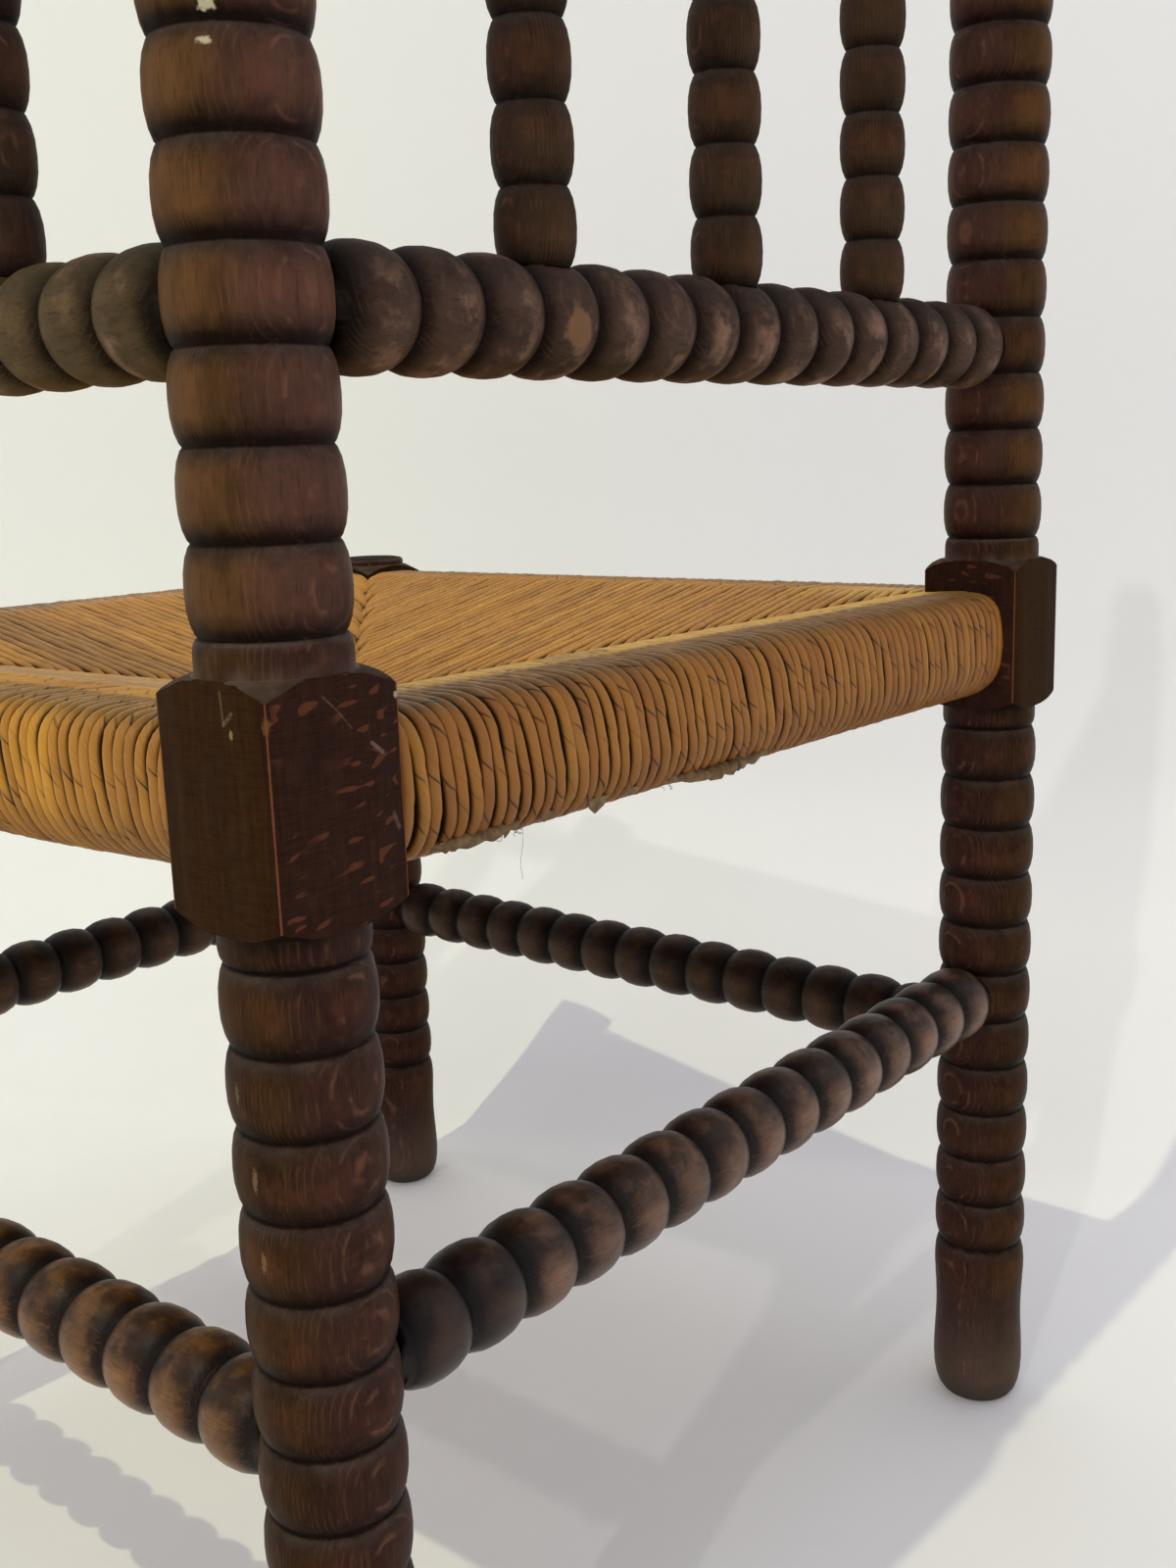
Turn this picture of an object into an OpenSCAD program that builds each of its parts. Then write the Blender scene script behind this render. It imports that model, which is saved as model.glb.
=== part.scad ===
// Bobbin-turned corner chair with a rush seat, in millimetres, +Z up.
// The origin is on the floor under the middle of the seat. The sitter faces -Y:
// the tall back post stands at +Y and the short front leg at -Y.
// Everything is laid out on a square plan with one post at each corner, and that
// square is then turned 45 degrees about Z so that one corner is at the back.

/* [Plan] */
// distance between neighbouring post centre lines
post_spacing = 425.5; // [400:0.5:450]
// size of the square block left on each post at seat height
block_w = 44.8; // [44.4:0.1:50]

/* [Leg turning] */
// floor to the groove above the foot
foot_h = 85.5; // [80:0.5:100]
// height of one bead below the seat
leg_bead_pitch = 24; // [22:0.25:26]
// radius of the posts over a bead
post_bead_r = 22; // [21:0.1:22.2]
// depth of the grooves between post beads
post_groove_depth = 2.6; // [1.5:0.1:4]
// radius of the flat that each foot stands on
foot_rest_r = 15; // [12:0.5:17]

/* [Seat block] */
// height of the block between its corners
block_h = 58.4; // [56:0.1:70]
// how much lower the front leg's block ends than the others
front_block_drop = 11; // [8:0.5:12]
// rise of the turned shoulder from the block's corners to the collar
shoulder_h = 5.2; // [4:0.1:8]
// height of the plain collar between shoulder and first groove
collar_h = 9.6; // [6:0.1:10]

/* [Back] */
// height of one bead above the seat
back_bead_pitch = 24.35; // [23:0.05:26]
// beads from the seat block up to the lower back rail's bead
beads_to_lower_rail = 3; // [2:1:4]
// beads between the two back rails, centre to centre
beads_between_rails = 8; // [7:1:9]
// radius of the ball on top of each tall post
finial_r = 19; // [16:0.5:21]
// radius of the neck under that ball
finial_neck_r = 11; // [9:0.5:13]

/* [Rails and stretchers] */
// radius over a rail bead
rail_bead_r = 18; // [16.5:0.1:19]
// depth of the grooves between rail beads
rail_groove_depth = 4.6; // [3:0.1:5.5]
// how far the back rails lie below the middle of the post beads that they meet
rail_drop = 1; // [0:0.25:2]
// radius over a stretcher bead
stretcher_bead_r = 17.2; // [16:0.1:18]
// how far the stretchers lie above the middle of the leg beads that they meet
stretcher_lift = 1; // [0:0.25:2]
// distance from the post centre line to the first groove of a rail or stretcher
rail_end = 22.8; // [22.4:0.1:24]
// radius of the round tenons on rails and stretchers
tenon_r = 7.5; // [6:0.1:8]
// which leg bead the higher pair of stretchers meets, counted from the foot
high_stretcher_bead = 6; // [5:1:8]

/* [Spindles] */
// radius over a spindle bead
spindle_bead_r = 12.7; // [11.5:0.1:13.5]
// depth of the grooves between spindle beads
spindle_groove_depth = 2.7; // [1.5:0.1:3.5]
// depth of each spindle socket below the crown of the rail bead
socket_depth = 12; // [9:0.5:14]

/* [Seat] */
// width of the seat rails under the rush
seat_rail_w = 18; // [17.5:0.5:20]
// height of the seat rails
seat_rail_h = 32; // [30:0.5:36]
// how far the rush stands out past the post centre lines
rush_out = 17.5; // [16.5:0.25:20]
// thickness of the rush over the top of a seat rail
rush_top = 8; // [5:0.5:10]
// thickness of the rush under a seat rail
rush_under = 10.5; // [6:0.5:12]
// how far the middle of the seat lies below its rim
seat_dip = 36.5; // [25:0.5:42]
// thickness of the rush at the middle
rush_middle = 14; // [10:0.5:20]

/* [Joints] */
// gap left all round between two pieces that fit together
fit = 0.15; // [0.1:0.01:0.25]

/* [Hidden] */
$fn = 96;
half = post_spacing / 2;
leg_beads = 11;
rail_beads = 15;
spindle_beads = 7;
bead_steps = 8;
post_groove_r = post_bead_r - post_groove_depth;
rail_groove_r = rail_bead_r - rail_groove_depth;
spindle_groove_r = spindle_bead_r - spindle_groove_depth;
leg_top = foot_h + leg_beads * leg_bead_pitch;
block_z0 = leg_top + collar_h + shoulder_h;
block_z1 = block_z0 + block_h;
back_z0 = block_z1 + shoulder_h + collar_h;
lower_rail_z = back_z0 + (beads_to_lower_rail + 0.5) * back_bead_pitch - rail_drop;
upper_rail_z = lower_rail_z + beads_between_rails * back_bead_pitch;
back_beads = beads_to_lower_rail + beads_between_rails + 2;
back_top = back_z0 + back_beads * back_bead_pitch;
rail_bead_pitch = (post_spacing - 2 * rail_end) / rail_beads;
tenon_stop = tenon_r * 4 / 3;
mortise_spare = tenon_r / 15;
high_stretcher_z = foot_h + (high_stretcher_bead - 0.5) * leg_bead_pitch + stretcher_lift;
low_stretcher_z = high_stretcher_z - leg_bead_pitch;
seat_rail_z = block_z0 + block_h * 0.44;
corner_r = block_w / sqrt(2);
// the spindle's last bead runs a little way down into its socket
spindle_sink = rail_bead_r - sqrt(pow(rail_bead_r, 2) - pow(spindle_groove_r, 2));
spindle_z0 = lower_rail_z + rail_bead_r - spindle_sink;
spindle_z1 = upper_rail_z - rail_bead_r + spindle_sink;
spindle_pitch = (spindle_z1 - spindle_z0) / spindle_beads;
spindle_places = [-4, 0, 4];
rush_z1 = seat_rail_z + seat_rail_h / 2 + rush_top;
rush_z0 = seat_rail_z - seat_rail_h / 2 - rush_under;
rush_mid = (rush_z0 + rush_z1) / 2;
// the nose of the rush is nearly square above and rounder below
rush_nose_in = seat_rail_w / 3;
rush_shoulder_in = seat_rail_w * 4 / 3;
rush_square_above = 3.5;
rush_square_below = 2.2;
wood = [0.24, 0.17, 0.13];
wood_light = [0.29, 0.20, 0.15];
straw = [0.62, 0.48, 0.32];

// the swell of one bead, 0 in the grooves and 1 at its middle, for t from -1 to 1
function swell(t) = pow(1 - pow(abs(t), 2.4), 0.75);

// one bead from its lower groove up to just under the next one
function bead(z0, pitch, groove_r, bead_r) = [
    for (i = [0:bead_steps - 1])
        let (t = -cos(180 * i / bead_steps))
            [groove_r + (bead_r - groove_r) * swell(t), z0 + pitch * (1 + t) / 2]
];

// a run of beads, closed by the last groove
function beads(z0, count, pitch, groove_r, bead_r) = concat(
    [for (k = [0:count - 1]) for (p = bead(z0 + k * pitch, pitch, groove_r, bead_r)) p],
    [[groove_r, z0 + count * pitch]]);

// the foot, drawn as fractions of foot_h and of the bead radius
function foot() = [
    [0, 0],
    [foot_rest_r, 0],
    [post_bead_r * 0.80, foot_h * 0.02],
    [post_bead_r * 0.885, foot_h * 0.05],
    [post_bead_r * 0.95, foot_h * 0.10],
    [post_bead_r * 0.985, foot_h * 0.16],
    [post_bead_r, foot_h * 0.23],
    [post_bead_r * 0.995, foot_h * 0.31],
    [post_bead_r * 0.98, foot_h * 0.40],
    [post_bead_r * 0.962, foot_h * 0.49],
    [post_bead_r * 0.955, foot_h * 0.57],
    [post_bead_r * 0.962, foot_h * 0.65],
    [post_bead_r * 0.98, foot_h * 0.74],
    [post_bead_r * 0.998, foot_h * 0.82],
    [post_bead_r, foot_h * 0.87],
    [post_bead_r * 0.985, foot_h * 0.925],
    [post_bead_r * 0.945, foot_h * 0.968]
];

// plain collar and domed shoulder under the block, out to past the block's corners
function collar_up(z0) = [
    [post_groove_r + post_groove_depth * 0.30, z0 + collar_h * 0.05],
    [post_groove_r + post_groove_depth * 0.56, z0 + collar_h * 0.18],
    [post_groove_r + post_groove_depth * 0.70, z0 + collar_h * 0.42],
    [post_groove_r + post_groove_depth * 0.70, z0 + collar_h],
    [post_bead_r * 1.08, z0 + collar_h + shoulder_h * 0.10],
    [corner_r * 0.86, z0 + collar_h + shoulder_h * 0.34],
    [corner_r * 0.95, z0 + collar_h + shoulder_h * 0.66],
    [corner_r * 1.01, z0 + collar_h + shoulder_h]
];

// the same shoulder upside down, from the block up to the groove at z1
function collar_down(z1) = [
    for (i = [7:-1:0]) let (p = collar_up(0)[i]) [p[0], z1 - p[1]]
];

// neck and ball that finish a tall post
function finial(z0) = concat(
    [[post_groove_r, z0], [post_groove_r * 0.86, z0 + finial_r * 0.12],
        [finial_neck_r * 1.12, z0 + finial_r * 0.21], [finial_neck_r, z0 + finial_r * 0.32]],
    [for (a = [-50:12.5:75])
        [finial_r * cos(a), z0 + finial_r * (0.4 + sin(50) + sin(a))]],
    [[0, z0 + finial_r * (1.4 + sin(50))]]);

// shoulder and low disc that end the front leg on top of its block
function leg_cap(z) = [
    [corner_r * 1.01, z],
    [corner_r * 0.92, z + shoulder_h * 0.32],
    [corner_r * 0.80, z + shoulder_h * 0.72],
    [post_bead_r * 1.03, z + shoulder_h],
    [post_bead_r * 0.95, z + shoulder_h * 1.06],
    [post_bead_r * 0.96, z + shoulder_h * 1.26],
    [post_bead_r * 0.955, z + shoulder_h * 1.62],
    [post_bead_r * 0.90, z + shoulder_h * 1.84],
    [post_bead_r * 0.74, z + shoulder_h * 1.98],
    [post_bead_r * 0.40, z + shoulder_h * 2.07],
    [0, z + shoulder_h * 2.10]
];

// the whole turned outline of one post
function post_outline(tall) = concat(
    foot(),
    beads(foot_h, leg_beads, leg_bead_pitch, post_groove_r, post_bead_r),
    collar_up(leg_top),
    tall
        ? concat(collar_down(back_z0),
            beads(back_z0, back_beads, back_bead_pitch, post_groove_r, post_bead_r),
            [for (i = [1:len(finial(back_top)) - 1]) finial(back_top)[i]])
        : leg_cap(block_z1 - front_block_drop));

// a round mortise whose mouth faces the direction turn
module mortise(z, turn) {
    translate([0, 0, z])
        rotate([0, 0, turn])
            translate([tenon_stop - mortise_spare, 0, 0])
                rotate([0, 90, 0])
                    cylinder(r = tenon_r + fit, h = block_w);
}

// one post turned from square stock: sx and sy say in which corner it stands,
// back_x and back_y say which of its two sides carries a back rail
module post(sx, sy, tall, back_x, back_y) {
    to_x = sx > 0 ? 180 : 0;
    to_y = sy > 0 ? 270 : 90;
    rotate([0, 0, 45])
        translate([sx * half, sy * half, 0])
            difference() {
                intersection() {
                    rotate_extrude()
                        polygon(post_outline(tall));
                    translate([-block_w / 2, -block_w / 2, -1])
                        cube([block_w, block_w, back_top + 3 * finial_r]);
                }
                mortise(high_stretcher_z, to_x);
                mortise(low_stretcher_z, to_y);
                mortise(seat_rail_z, to_x);
                mortise(seat_rail_z, to_y);
                if (back_x) {
                    mortise(lower_rail_z, to_x);
                    mortise(upper_rail_z, to_x);
                }
                if (back_y) {
                    mortise(lower_rail_z, to_y);
                    mortise(upper_rail_z, to_y);
                }
            }
}

// moves a piece from the middle of its own length to one side of the square:
// 0 back right, 1 back left, 2 front left, 3 front right
module on_side(side, z) {
    rotate([0, 0, 45 - 90 * side])
        translate([0, half, z])
            children();
}

// a beaded bar along X with a round tenon at each end, scribed to the posts
module beaded_bar(bead_r) {
    groove_r = bead_r - rail_groove_depth;
    neck = half - rail_end / 2;
    difference() {
        rotate([0, 90, 0])
            rotate_extrude()
                polygon(concat(
                    [[0, -neck], [groove_r, -neck]],
                    beads(rail_end - half, rail_beads, rail_bead_pitch, groove_r, bead_r),
                    [[groove_r, neck], [0, neck]]));
        for (sx = [-1, 1])
            translate([sx * half, 0, -2 * rail_bead_r])
                cylinder(r = post_bead_r + fit, h = 4 * rail_bead_r);
    }
    rotate([0, 90, 0])
        cylinder(r = tenon_r, h = post_spacing - 2 * tenon_stop, center = true);
}

// the plan of a rail whose ends are mitred, so two rails can meet at one post
module mitre_plan() {
    reach = half - fit;
    wide = 2 * rail_bead_r;
    polygon([[-reach, 0], [wide - reach, wide], [reach - wide, wide],
        [reach, 0], [reach - wide, -wide], [wide - reach, -wide]]);
}

// a back rail: up is 1 when its spindle sockets face up and -1 when they face down
module back_rail(side, z, up) {
    color(wood)
        on_side(side, z)
            difference() {
                intersection() {
                    beaded_bar(rail_bead_r);
                    translate([0, 0, -2 * rail_bead_r])
                        linear_extrude(4 * rail_bead_r)
                            mitre_plan();
                }
                for (k = spindle_places)
                    translate([k * rail_bead_pitch, 0, 0])
                        rotate([up > 0 ? 0 : 180, 0, 0])
                            translate([0, 0, rail_bead_r - socket_depth - mortise_spare])
                                cylinder(r = spindle_groove_r + fit, h = socket_depth * 2);
            }
}

// a stretcher between two legs
module stretcher(side, z) {
    color(wood_light)
        on_side(side, z)
            beaded_bar(stretcher_bead_r);
}

// a spindle between the two back rails, its ends plain and let into the beads
module spindle(side, place) {
    reach = socket_depth - spindle_sink;
    color(wood)
        on_side(side, 0)
            translate([place * rail_bead_pitch, 0, 0])
                rotate_extrude()
                    polygon(concat(
                        [[0, spindle_z0 - reach], [spindle_groove_r, spindle_z0 - reach]],
                        beads(spindle_z0, spindle_beads, spindle_pitch,
                            spindle_groove_r, spindle_bead_r),
                        [[spindle_groove_r, spindle_z1 + reach], [0, spindle_z1 + reach]]));
}

// section of a seat rail, a board with round edges: x is across it and y is up
module seat_rail_section(grow) {
    w = seat_rail_w + 2 * grow;
    flat = seat_rail_h - seat_rail_w;
    square([w, flat], center = true);
    translate([0, flat / 2])
        circle(r = w / 2);
    translate([0, -flat / 2])
        circle(r = w / 2);
}

// a seat rail, set outwards from the post centre line as far as its tenons allow
module seat_rail_body(grow, length) {
    translate([-length / 2, seat_rail_w / 2 - tenon_r - mortise_spare, 0])
        rotate([90, 0, 90])
            linear_extrude(length)
                seat_rail_section(grow);
}

module seat_rail(side) {
    color(wood)
        on_side(side, seat_rail_z) {
            seat_rail_body(0, post_spacing - block_w - 2 * fit);
            rotate([0, 90, 0])
                cylinder(r = tenon_r, h = post_spacing - 2 * tenon_stop, center = true);
        }
}

// section of one side of the seat: x is the distance inwards from the post
// centre line and y is the height
function rush_section() = concat(
    [[half, rush_z1 - seat_dip - rush_middle]],
    [for (a = [270:-11.25:90])
        let (bend = 2 / (sin(a) > 0 ? rush_square_above : rush_square_below))
            [rush_nose_in - (a == 270 || a == 90 ? 0 : 1) * (rush_out + rush_nose_in)
                * pow(abs(cos(a)), bend),
                rush_mid + sign(sin(a)) * (rush_z1 - rush_mid) * pow(abs(sin(a)), bend)]],
    [[rush_shoulder_in, rush_z1 - rush_top / 16],
        [half, rush_z1 - seat_dip]]);

// one of the four triangles of the seat, from the outside in to the middle
module rush_side(side) {
    rotate([0, 0, -90 * side])
        intersection() {
            translate([-2 * half, half, 0])
                rotate([90, 0, 90])
                    linear_extrude(4 * half)
                        mirror([1, 0])
                            polygon(rush_section());
            linear_extrude(2 * rush_z1)
                polygon([[0, 0], [2 * half, 2 * half], [-2 * half, 2 * half]]);
        }
}

module rush_seat() {
    color(straw)
        rotate([0, 0, 45])
            difference() {
                union() {
                    for (side = [0:3])
                        rush_side(side);
                }
                for (side = [0:3])
                    rotate([0, 0, -90 * side])
                        translate([0, half, seat_rail_z])
                            seat_rail_body(fit, post_spacing);
                for (sx = [-1, 1])
                    for (sy = [-1, 1])
                        translate([sx * half - block_w / 2 - fit, sy * half - block_w / 2 - fit,
                            rush_z0 - 10])
                            cube([block_w + 2 * fit, block_w + 2 * fit, rush_z1 - rush_z0 + 20]);
            }
}

module back_post() {
    color(wood)
        post(1, 1, true, true, true);
}

module right_post() {
    color(wood)
        post(-1, 1, true, true, false);
}

module left_post() {
    color(wood)
        post(1, -1, true, false, true);
}

module front_leg() {
    color(wood)
        post(-1, -1, false, false, false);
}

back_post();
right_post();
left_post();
front_leg();
back_rail(0, lower_rail_z, 1);  // lower_back_rail_right
back_rail(1, lower_rail_z, 1);  // lower_back_rail_left
back_rail(0, upper_rail_z, -1);  // upper_back_rail_right
back_rail(1, upper_rail_z, -1);  // upper_back_rail_left
spindle(0, spindle_places[2]);  // spindle_right_1
spindle(0, spindle_places[1]);  // spindle_right_2
spindle(0, spindle_places[0]);  // spindle_right_3
spindle(1, spindle_places[0]);  // spindle_left_1
spindle(1, spindle_places[1]);  // spindle_left_2
spindle(1, spindle_places[2]);  // spindle_left_3
stretcher(0, high_stretcher_z);  // stretcher_back_right
stretcher(1, low_stretcher_z);  // stretcher_back_left
stretcher(2, high_stretcher_z);  // stretcher_front_left
stretcher(3, low_stretcher_z);  // stretcher_front_right
seat_rail(0);  // seat_rail_back_right
seat_rail(1);  // seat_rail_back_left
seat_rail(2);  // seat_rail_front_left
seat_rail(3);  // seat_rail_front_right
rush_seat();
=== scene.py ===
"""Dresses the bobbin-turned corner chair: dark stained turnings and a seat of twisted rush.

Every length is in metres, in the frame of the chair: the back post stands at +Y, the front leg
at -Y, the sitter's right is at -X and the floor is at Z = 0.
"""

import functools
import logging
import math
import random
from dataclasses import dataclass, field, replace
from enum import Enum

import bpy
import numpy as np
from mathutils import Matrix, Vector


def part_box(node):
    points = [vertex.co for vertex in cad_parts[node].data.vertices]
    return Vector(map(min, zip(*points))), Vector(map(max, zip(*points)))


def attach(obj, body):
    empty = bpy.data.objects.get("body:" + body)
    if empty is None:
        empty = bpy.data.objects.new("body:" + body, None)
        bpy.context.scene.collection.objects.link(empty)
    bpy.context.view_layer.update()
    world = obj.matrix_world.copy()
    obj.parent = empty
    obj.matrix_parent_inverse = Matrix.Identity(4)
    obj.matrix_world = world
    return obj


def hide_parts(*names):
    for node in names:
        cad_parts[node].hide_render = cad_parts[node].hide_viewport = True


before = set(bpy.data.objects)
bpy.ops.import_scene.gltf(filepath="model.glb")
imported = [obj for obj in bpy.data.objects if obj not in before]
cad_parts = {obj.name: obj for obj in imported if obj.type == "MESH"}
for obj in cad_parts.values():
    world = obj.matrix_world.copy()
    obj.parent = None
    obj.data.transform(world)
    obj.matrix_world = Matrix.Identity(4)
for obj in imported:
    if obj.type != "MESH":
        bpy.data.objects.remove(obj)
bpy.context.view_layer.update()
LOG = logging.getLogger("chair")
MM = 0.001
UP = Vector((0.0, 0.0, 1.0))
WAVE = 6.283  # one wave of the slow unevenness along a strand, in radians


def stain(red: float, green: float, blue: float) -> tuple[float, float, float, float]:
    """Turns a colour given 0 to 255 into the linear colour that shaders take.

    Args:
        red: Red as seen on a screen.
        green: Green as seen on a screen.
        blue: Blue as seen on a screen.

    Returns:
        The linear colour with full opacity.
    """

    def channel(value: float) -> float:
        """One channel of the standard screen curve, undone."""
        level = value / 255.0
        return level / 12.92 if level <= 0.04045 else ((level + 0.055) / 1.055) ** 2.4

    return (channel(red), channel(green), channel(blue), 1.0)


# near-black for the grooves between the beads, partly grime and partly painted shade, and for the
# undersides of the beads, where it is painted shade
GRIME_AND_SHADE = stain(15, 9, 5)


@functools.cache
def post_axis(node: str) -> Vector:
    """Finds the foot of a post's centre line on the floor.

    Args:
        node: The post's name.

    Returns:
        The point.
    """
    low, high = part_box(node)
    return Vector(((low.x + high.x) / 2, (low.y + high.y) / 2, 0.0))


class Side(Enum):
    """The four sides of the seat, each between two posts."""

    BACK_RIGHT = ("back_post", "right_post")
    FRONT_RIGHT = ("right_post", "front_leg")
    FRONT_LEFT = ("front_leg", "left_post")
    BACK_LEFT = ("left_post", "back_post")

    def middle(self) -> Vector:
        """The point on the floor halfway between this side's two posts."""
        return (post_axis(self.value[0]) + post_axis(self.value[1])) / 2

    def outward(self) -> Vector:
        """The level direction from the middle of the seat out to this side."""
        return self.middle().normalized()

    def along(self) -> Vector:
        """The level direction from this side's first post to its second."""
        return (post_axis(self.value[1]) - post_axis(self.value[0])).normalized()


class Nodes:
    """A thin helper that adds shader nodes and joins them."""

    def __init__(self, tree: bpy.types.NodeTree) -> None:
        """Keeps the tree that the helper works in."""
        self.tree = tree

    def add(self, kind: str, **settings: object) -> bpy.types.Node:
        """Adds a node.

        Args:
            kind: The node's type, such as ShaderNodeMath.
            settings: Properties to set on the node.

        Returns:
            The new node.
        """
        node = self.tree.nodes.new(kind)
        for name, value in settings.items():
            setattr(node, name, value)
        return node

    def join(self, source: object, target: bpy.types.NodeSocket) -> None:
        """Feeds a socket from another socket, or sets it to a plain value.

        Args:
            source: The socket or the value.
            target: The socket to feed.
        """
        if isinstance(source, bpy.types.NodeSocket):
            self.tree.links.new(source, target)
        else:
            target.default_value = source

    def math(self, operation: str, *values: object, clamp: bool = False) -> bpy.types.NodeSocket:
        """Adds a Math node.

        Args:
            operation: What it does, such as ADD.
            values: The sockets or numbers that it works on.
            clamp: Whether its result is kept between 0 and 1.

        Returns:
            Its result.
        """
        node = self.add("ShaderNodeMath", operation=operation, use_clamp=clamp)
        for socket, value in zip(node.inputs, values):
            self.join(value, socket)
        return node.outputs[0]

    def vector(self, operation: str, *values: object) -> bpy.types.NodeSocket:
        """Adds a Vector Math node.

        Args:
            operation: What it does, such as NORMALIZE.
            values: The sockets or triples that it works on.

        Returns:
            Its vector, or its value where it has only that.
        """
        node = self.add("ShaderNodeVectorMath", operation=operation)
        for socket, value in zip(node.inputs, values):
            self.join(value, socket)
        single = operation in ("LENGTH", "DISTANCE", "DOT_PRODUCT")
        return node.outputs["Value" if single else "Vector"]

    def ramp(self, value: object, low: float, high: float, start: float = 0.0,
             end: float = 1.0) -> bpy.types.NodeSocket:
        """Adds a smooth step.

        Args:
            value: The socket that drives it.
            low: The value at which the step begins.
            high: The value at which it ends.
            start: What it gives up to low.
            end: What it gives from high on.

        Returns:
            Its result.
        """
        node = self.add("ShaderNodeMapRange", interpolation_type="SMOOTHSTEP")
        self.join(value, node.inputs["Value"])
        node.inputs["From Min"].default_value = low
        node.inputs["From Max"].default_value = high
        node.inputs["To Min"].default_value = start
        node.inputs["To Max"].default_value = end
        return node.outputs["Result"]

    def mix(self, amount: object, first: object, second: object) -> bpy.types.NodeSocket:
        """Mixes two colours.

        Args:
            amount: How much of the second there is, 0 to 1.
            first: The first colour.
            second: The second colour.

        Returns:
            The mixed colour.
        """
        node = self.add("ShaderNodeMix", data_type="RGBA")
        self.join(amount, node.inputs["Factor"])
        self.join(first, node.inputs["A"])
        self.join(second, node.inputs["B"])
        return node.outputs["Result"]

    def noise(self, vector: object, scale: float, detail: float = 3.0,
              roughness: float = 0.55) -> bpy.types.NodeSocket:
        """Adds a noise texture.

        Args:
            vector: Where it is looked up.
            scale: How many of its waves fit in a metre.
            detail: How many finer layers it has.
            roughness: How strong those layers are.

        Returns:
            Its height, about 0.5 on average.
        """
        node = self.add("ShaderNodeTexNoise")
        self.join(vector, node.inputs["Vector"])
        node.inputs["Scale"].default_value = scale
        node.inputs["Detail"].default_value = detail
        node.inputs["Roughness"].default_value = roughness
        return node.outputs["Fac"]

    def split(self, vector: object) -> tuple[bpy.types.NodeSocket, ...]:
        """Takes a vector apart.

        Args:
            vector: The vector.

        Returns:
            Its X, Y and Z.
        """
        node = self.add("ShaderNodeSeparateXYZ")
        self.join(vector, node.inputs[0])
        return tuple(node.outputs)

    def combine(self, *values: object) -> bpy.types.NodeSocket:
        """Puts a vector together.

        Args:
            values: Its X, Y and Z.

        Returns:
            The vector.
        """
        node = self.add("ShaderNodeCombineXYZ")
        for socket, value in zip(node.inputs, values):
            self.join(value, socket)
        return node.outputs[0]


def bare_material(name: str) -> tuple[bpy.types.Material, Nodes]:
    """Makes a material without any nodes.

    Args:
        name: The material's name.

    Returns:
        The material, and the helper for its tree.
    """
    material = bpy.data.materials.new(name)
    material.use_nodes = True
    material.node_tree.nodes.clear()
    return material, Nodes(material.node_tree)


def plain_material(name: str) -> tuple[bpy.types.Material, Nodes, bpy.types.Node]:
    """Makes a material with its usual shader.

    Args:
        name: The material's name.

    Returns:
        The material, the helper for its tree and the shader.
    """
    material = bpy.data.materials.new(name)
    material.use_nodes = True
    return material, Nodes(material.node_tree), material.node_tree.nodes["Principled BSDF"]


def finish_material(make: Nodes, shader: bpy.types.Node, relief: bpy.types.NodeSocket,
                    strength: float, depth: float) -> None:
    """Gives a shader its relief and joins it to the material's output.

    Args:
        make: The helper for the material's tree.
        shader: The shader.
        relief: The height of the surface, 0 to 1.
        strength: How strongly the relief shows.
        depth: How deep it is.
    """
    bump = make.add("ShaderNodeBump")
    bump.inputs["Strength"].default_value = strength
    bump.inputs["Distance"].default_value = depth
    make.join(relief, bump.inputs["Height"])
    make.join(bump.outputs[0], shader.inputs["Normal"])
    out = make.add("ShaderNodeOutputMaterial")
    make.join(shader.outputs[0], out.inputs["Surface"])


class Effect:
    """A shader node group with named inputs and outputs, built once and used in many finishes."""

    name = "effect"
    inputs: tuple[tuple[str, str, object], ...] = ()
    outputs: tuple[tuple[str, str], ...] = ()

    def build(self, make: Nodes, given: dict, results: dict) -> None:
        """Fills the group; each effect does this its own way.

        Args:
            make: The helper for the group's tree.
            given: The group's inputs by name.
            results: The group's outputs by name, to be fed.
        """
        raise NotImplementedError

    def group(self) -> bpy.types.NodeTree:
        """Gives the group, and builds it the first time that it is asked for.

        Returns:
            The group.
        """
        known = bpy.data.node_groups.get(self.name)
        if known:
            return known
        tree = bpy.data.node_groups.new(self.name, "ShaderNodeTree")
        for label, kind, default in self.inputs:
            socket = tree.interface.new_socket(label, in_out="INPUT", socket_type=kind)
            if default is not None:
                socket.default_value = default
        for label, kind in self.outputs:
            tree.interface.new_socket(label, in_out="OUTPUT", socket_type=kind)
        make = Nodes(tree)
        entry = make.add("NodeGroupInput")
        leave = make.add("NodeGroupOutput")
        self.build(make, {s.name: s for s in entry.outputs}, {s.name: s for s in leave.inputs})
        return tree

    def place(self, make: Nodes, **values: object) -> dict[str, bpy.types.NodeSocket]:
        """Puts the group into a material.

        Args:
            make: The helper for the material's tree.
            values: What feeds each input, with _ for a space in its name.

        Returns:
            The group's outputs by name.
        """
        node = make.add("ShaderNodeGroup", node_tree=self.group())
        for label, value in values.items():
            make.join(value, node.inputs[label.replace("_", " ")])
        return {s.name: s for s in node.outputs}


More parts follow.
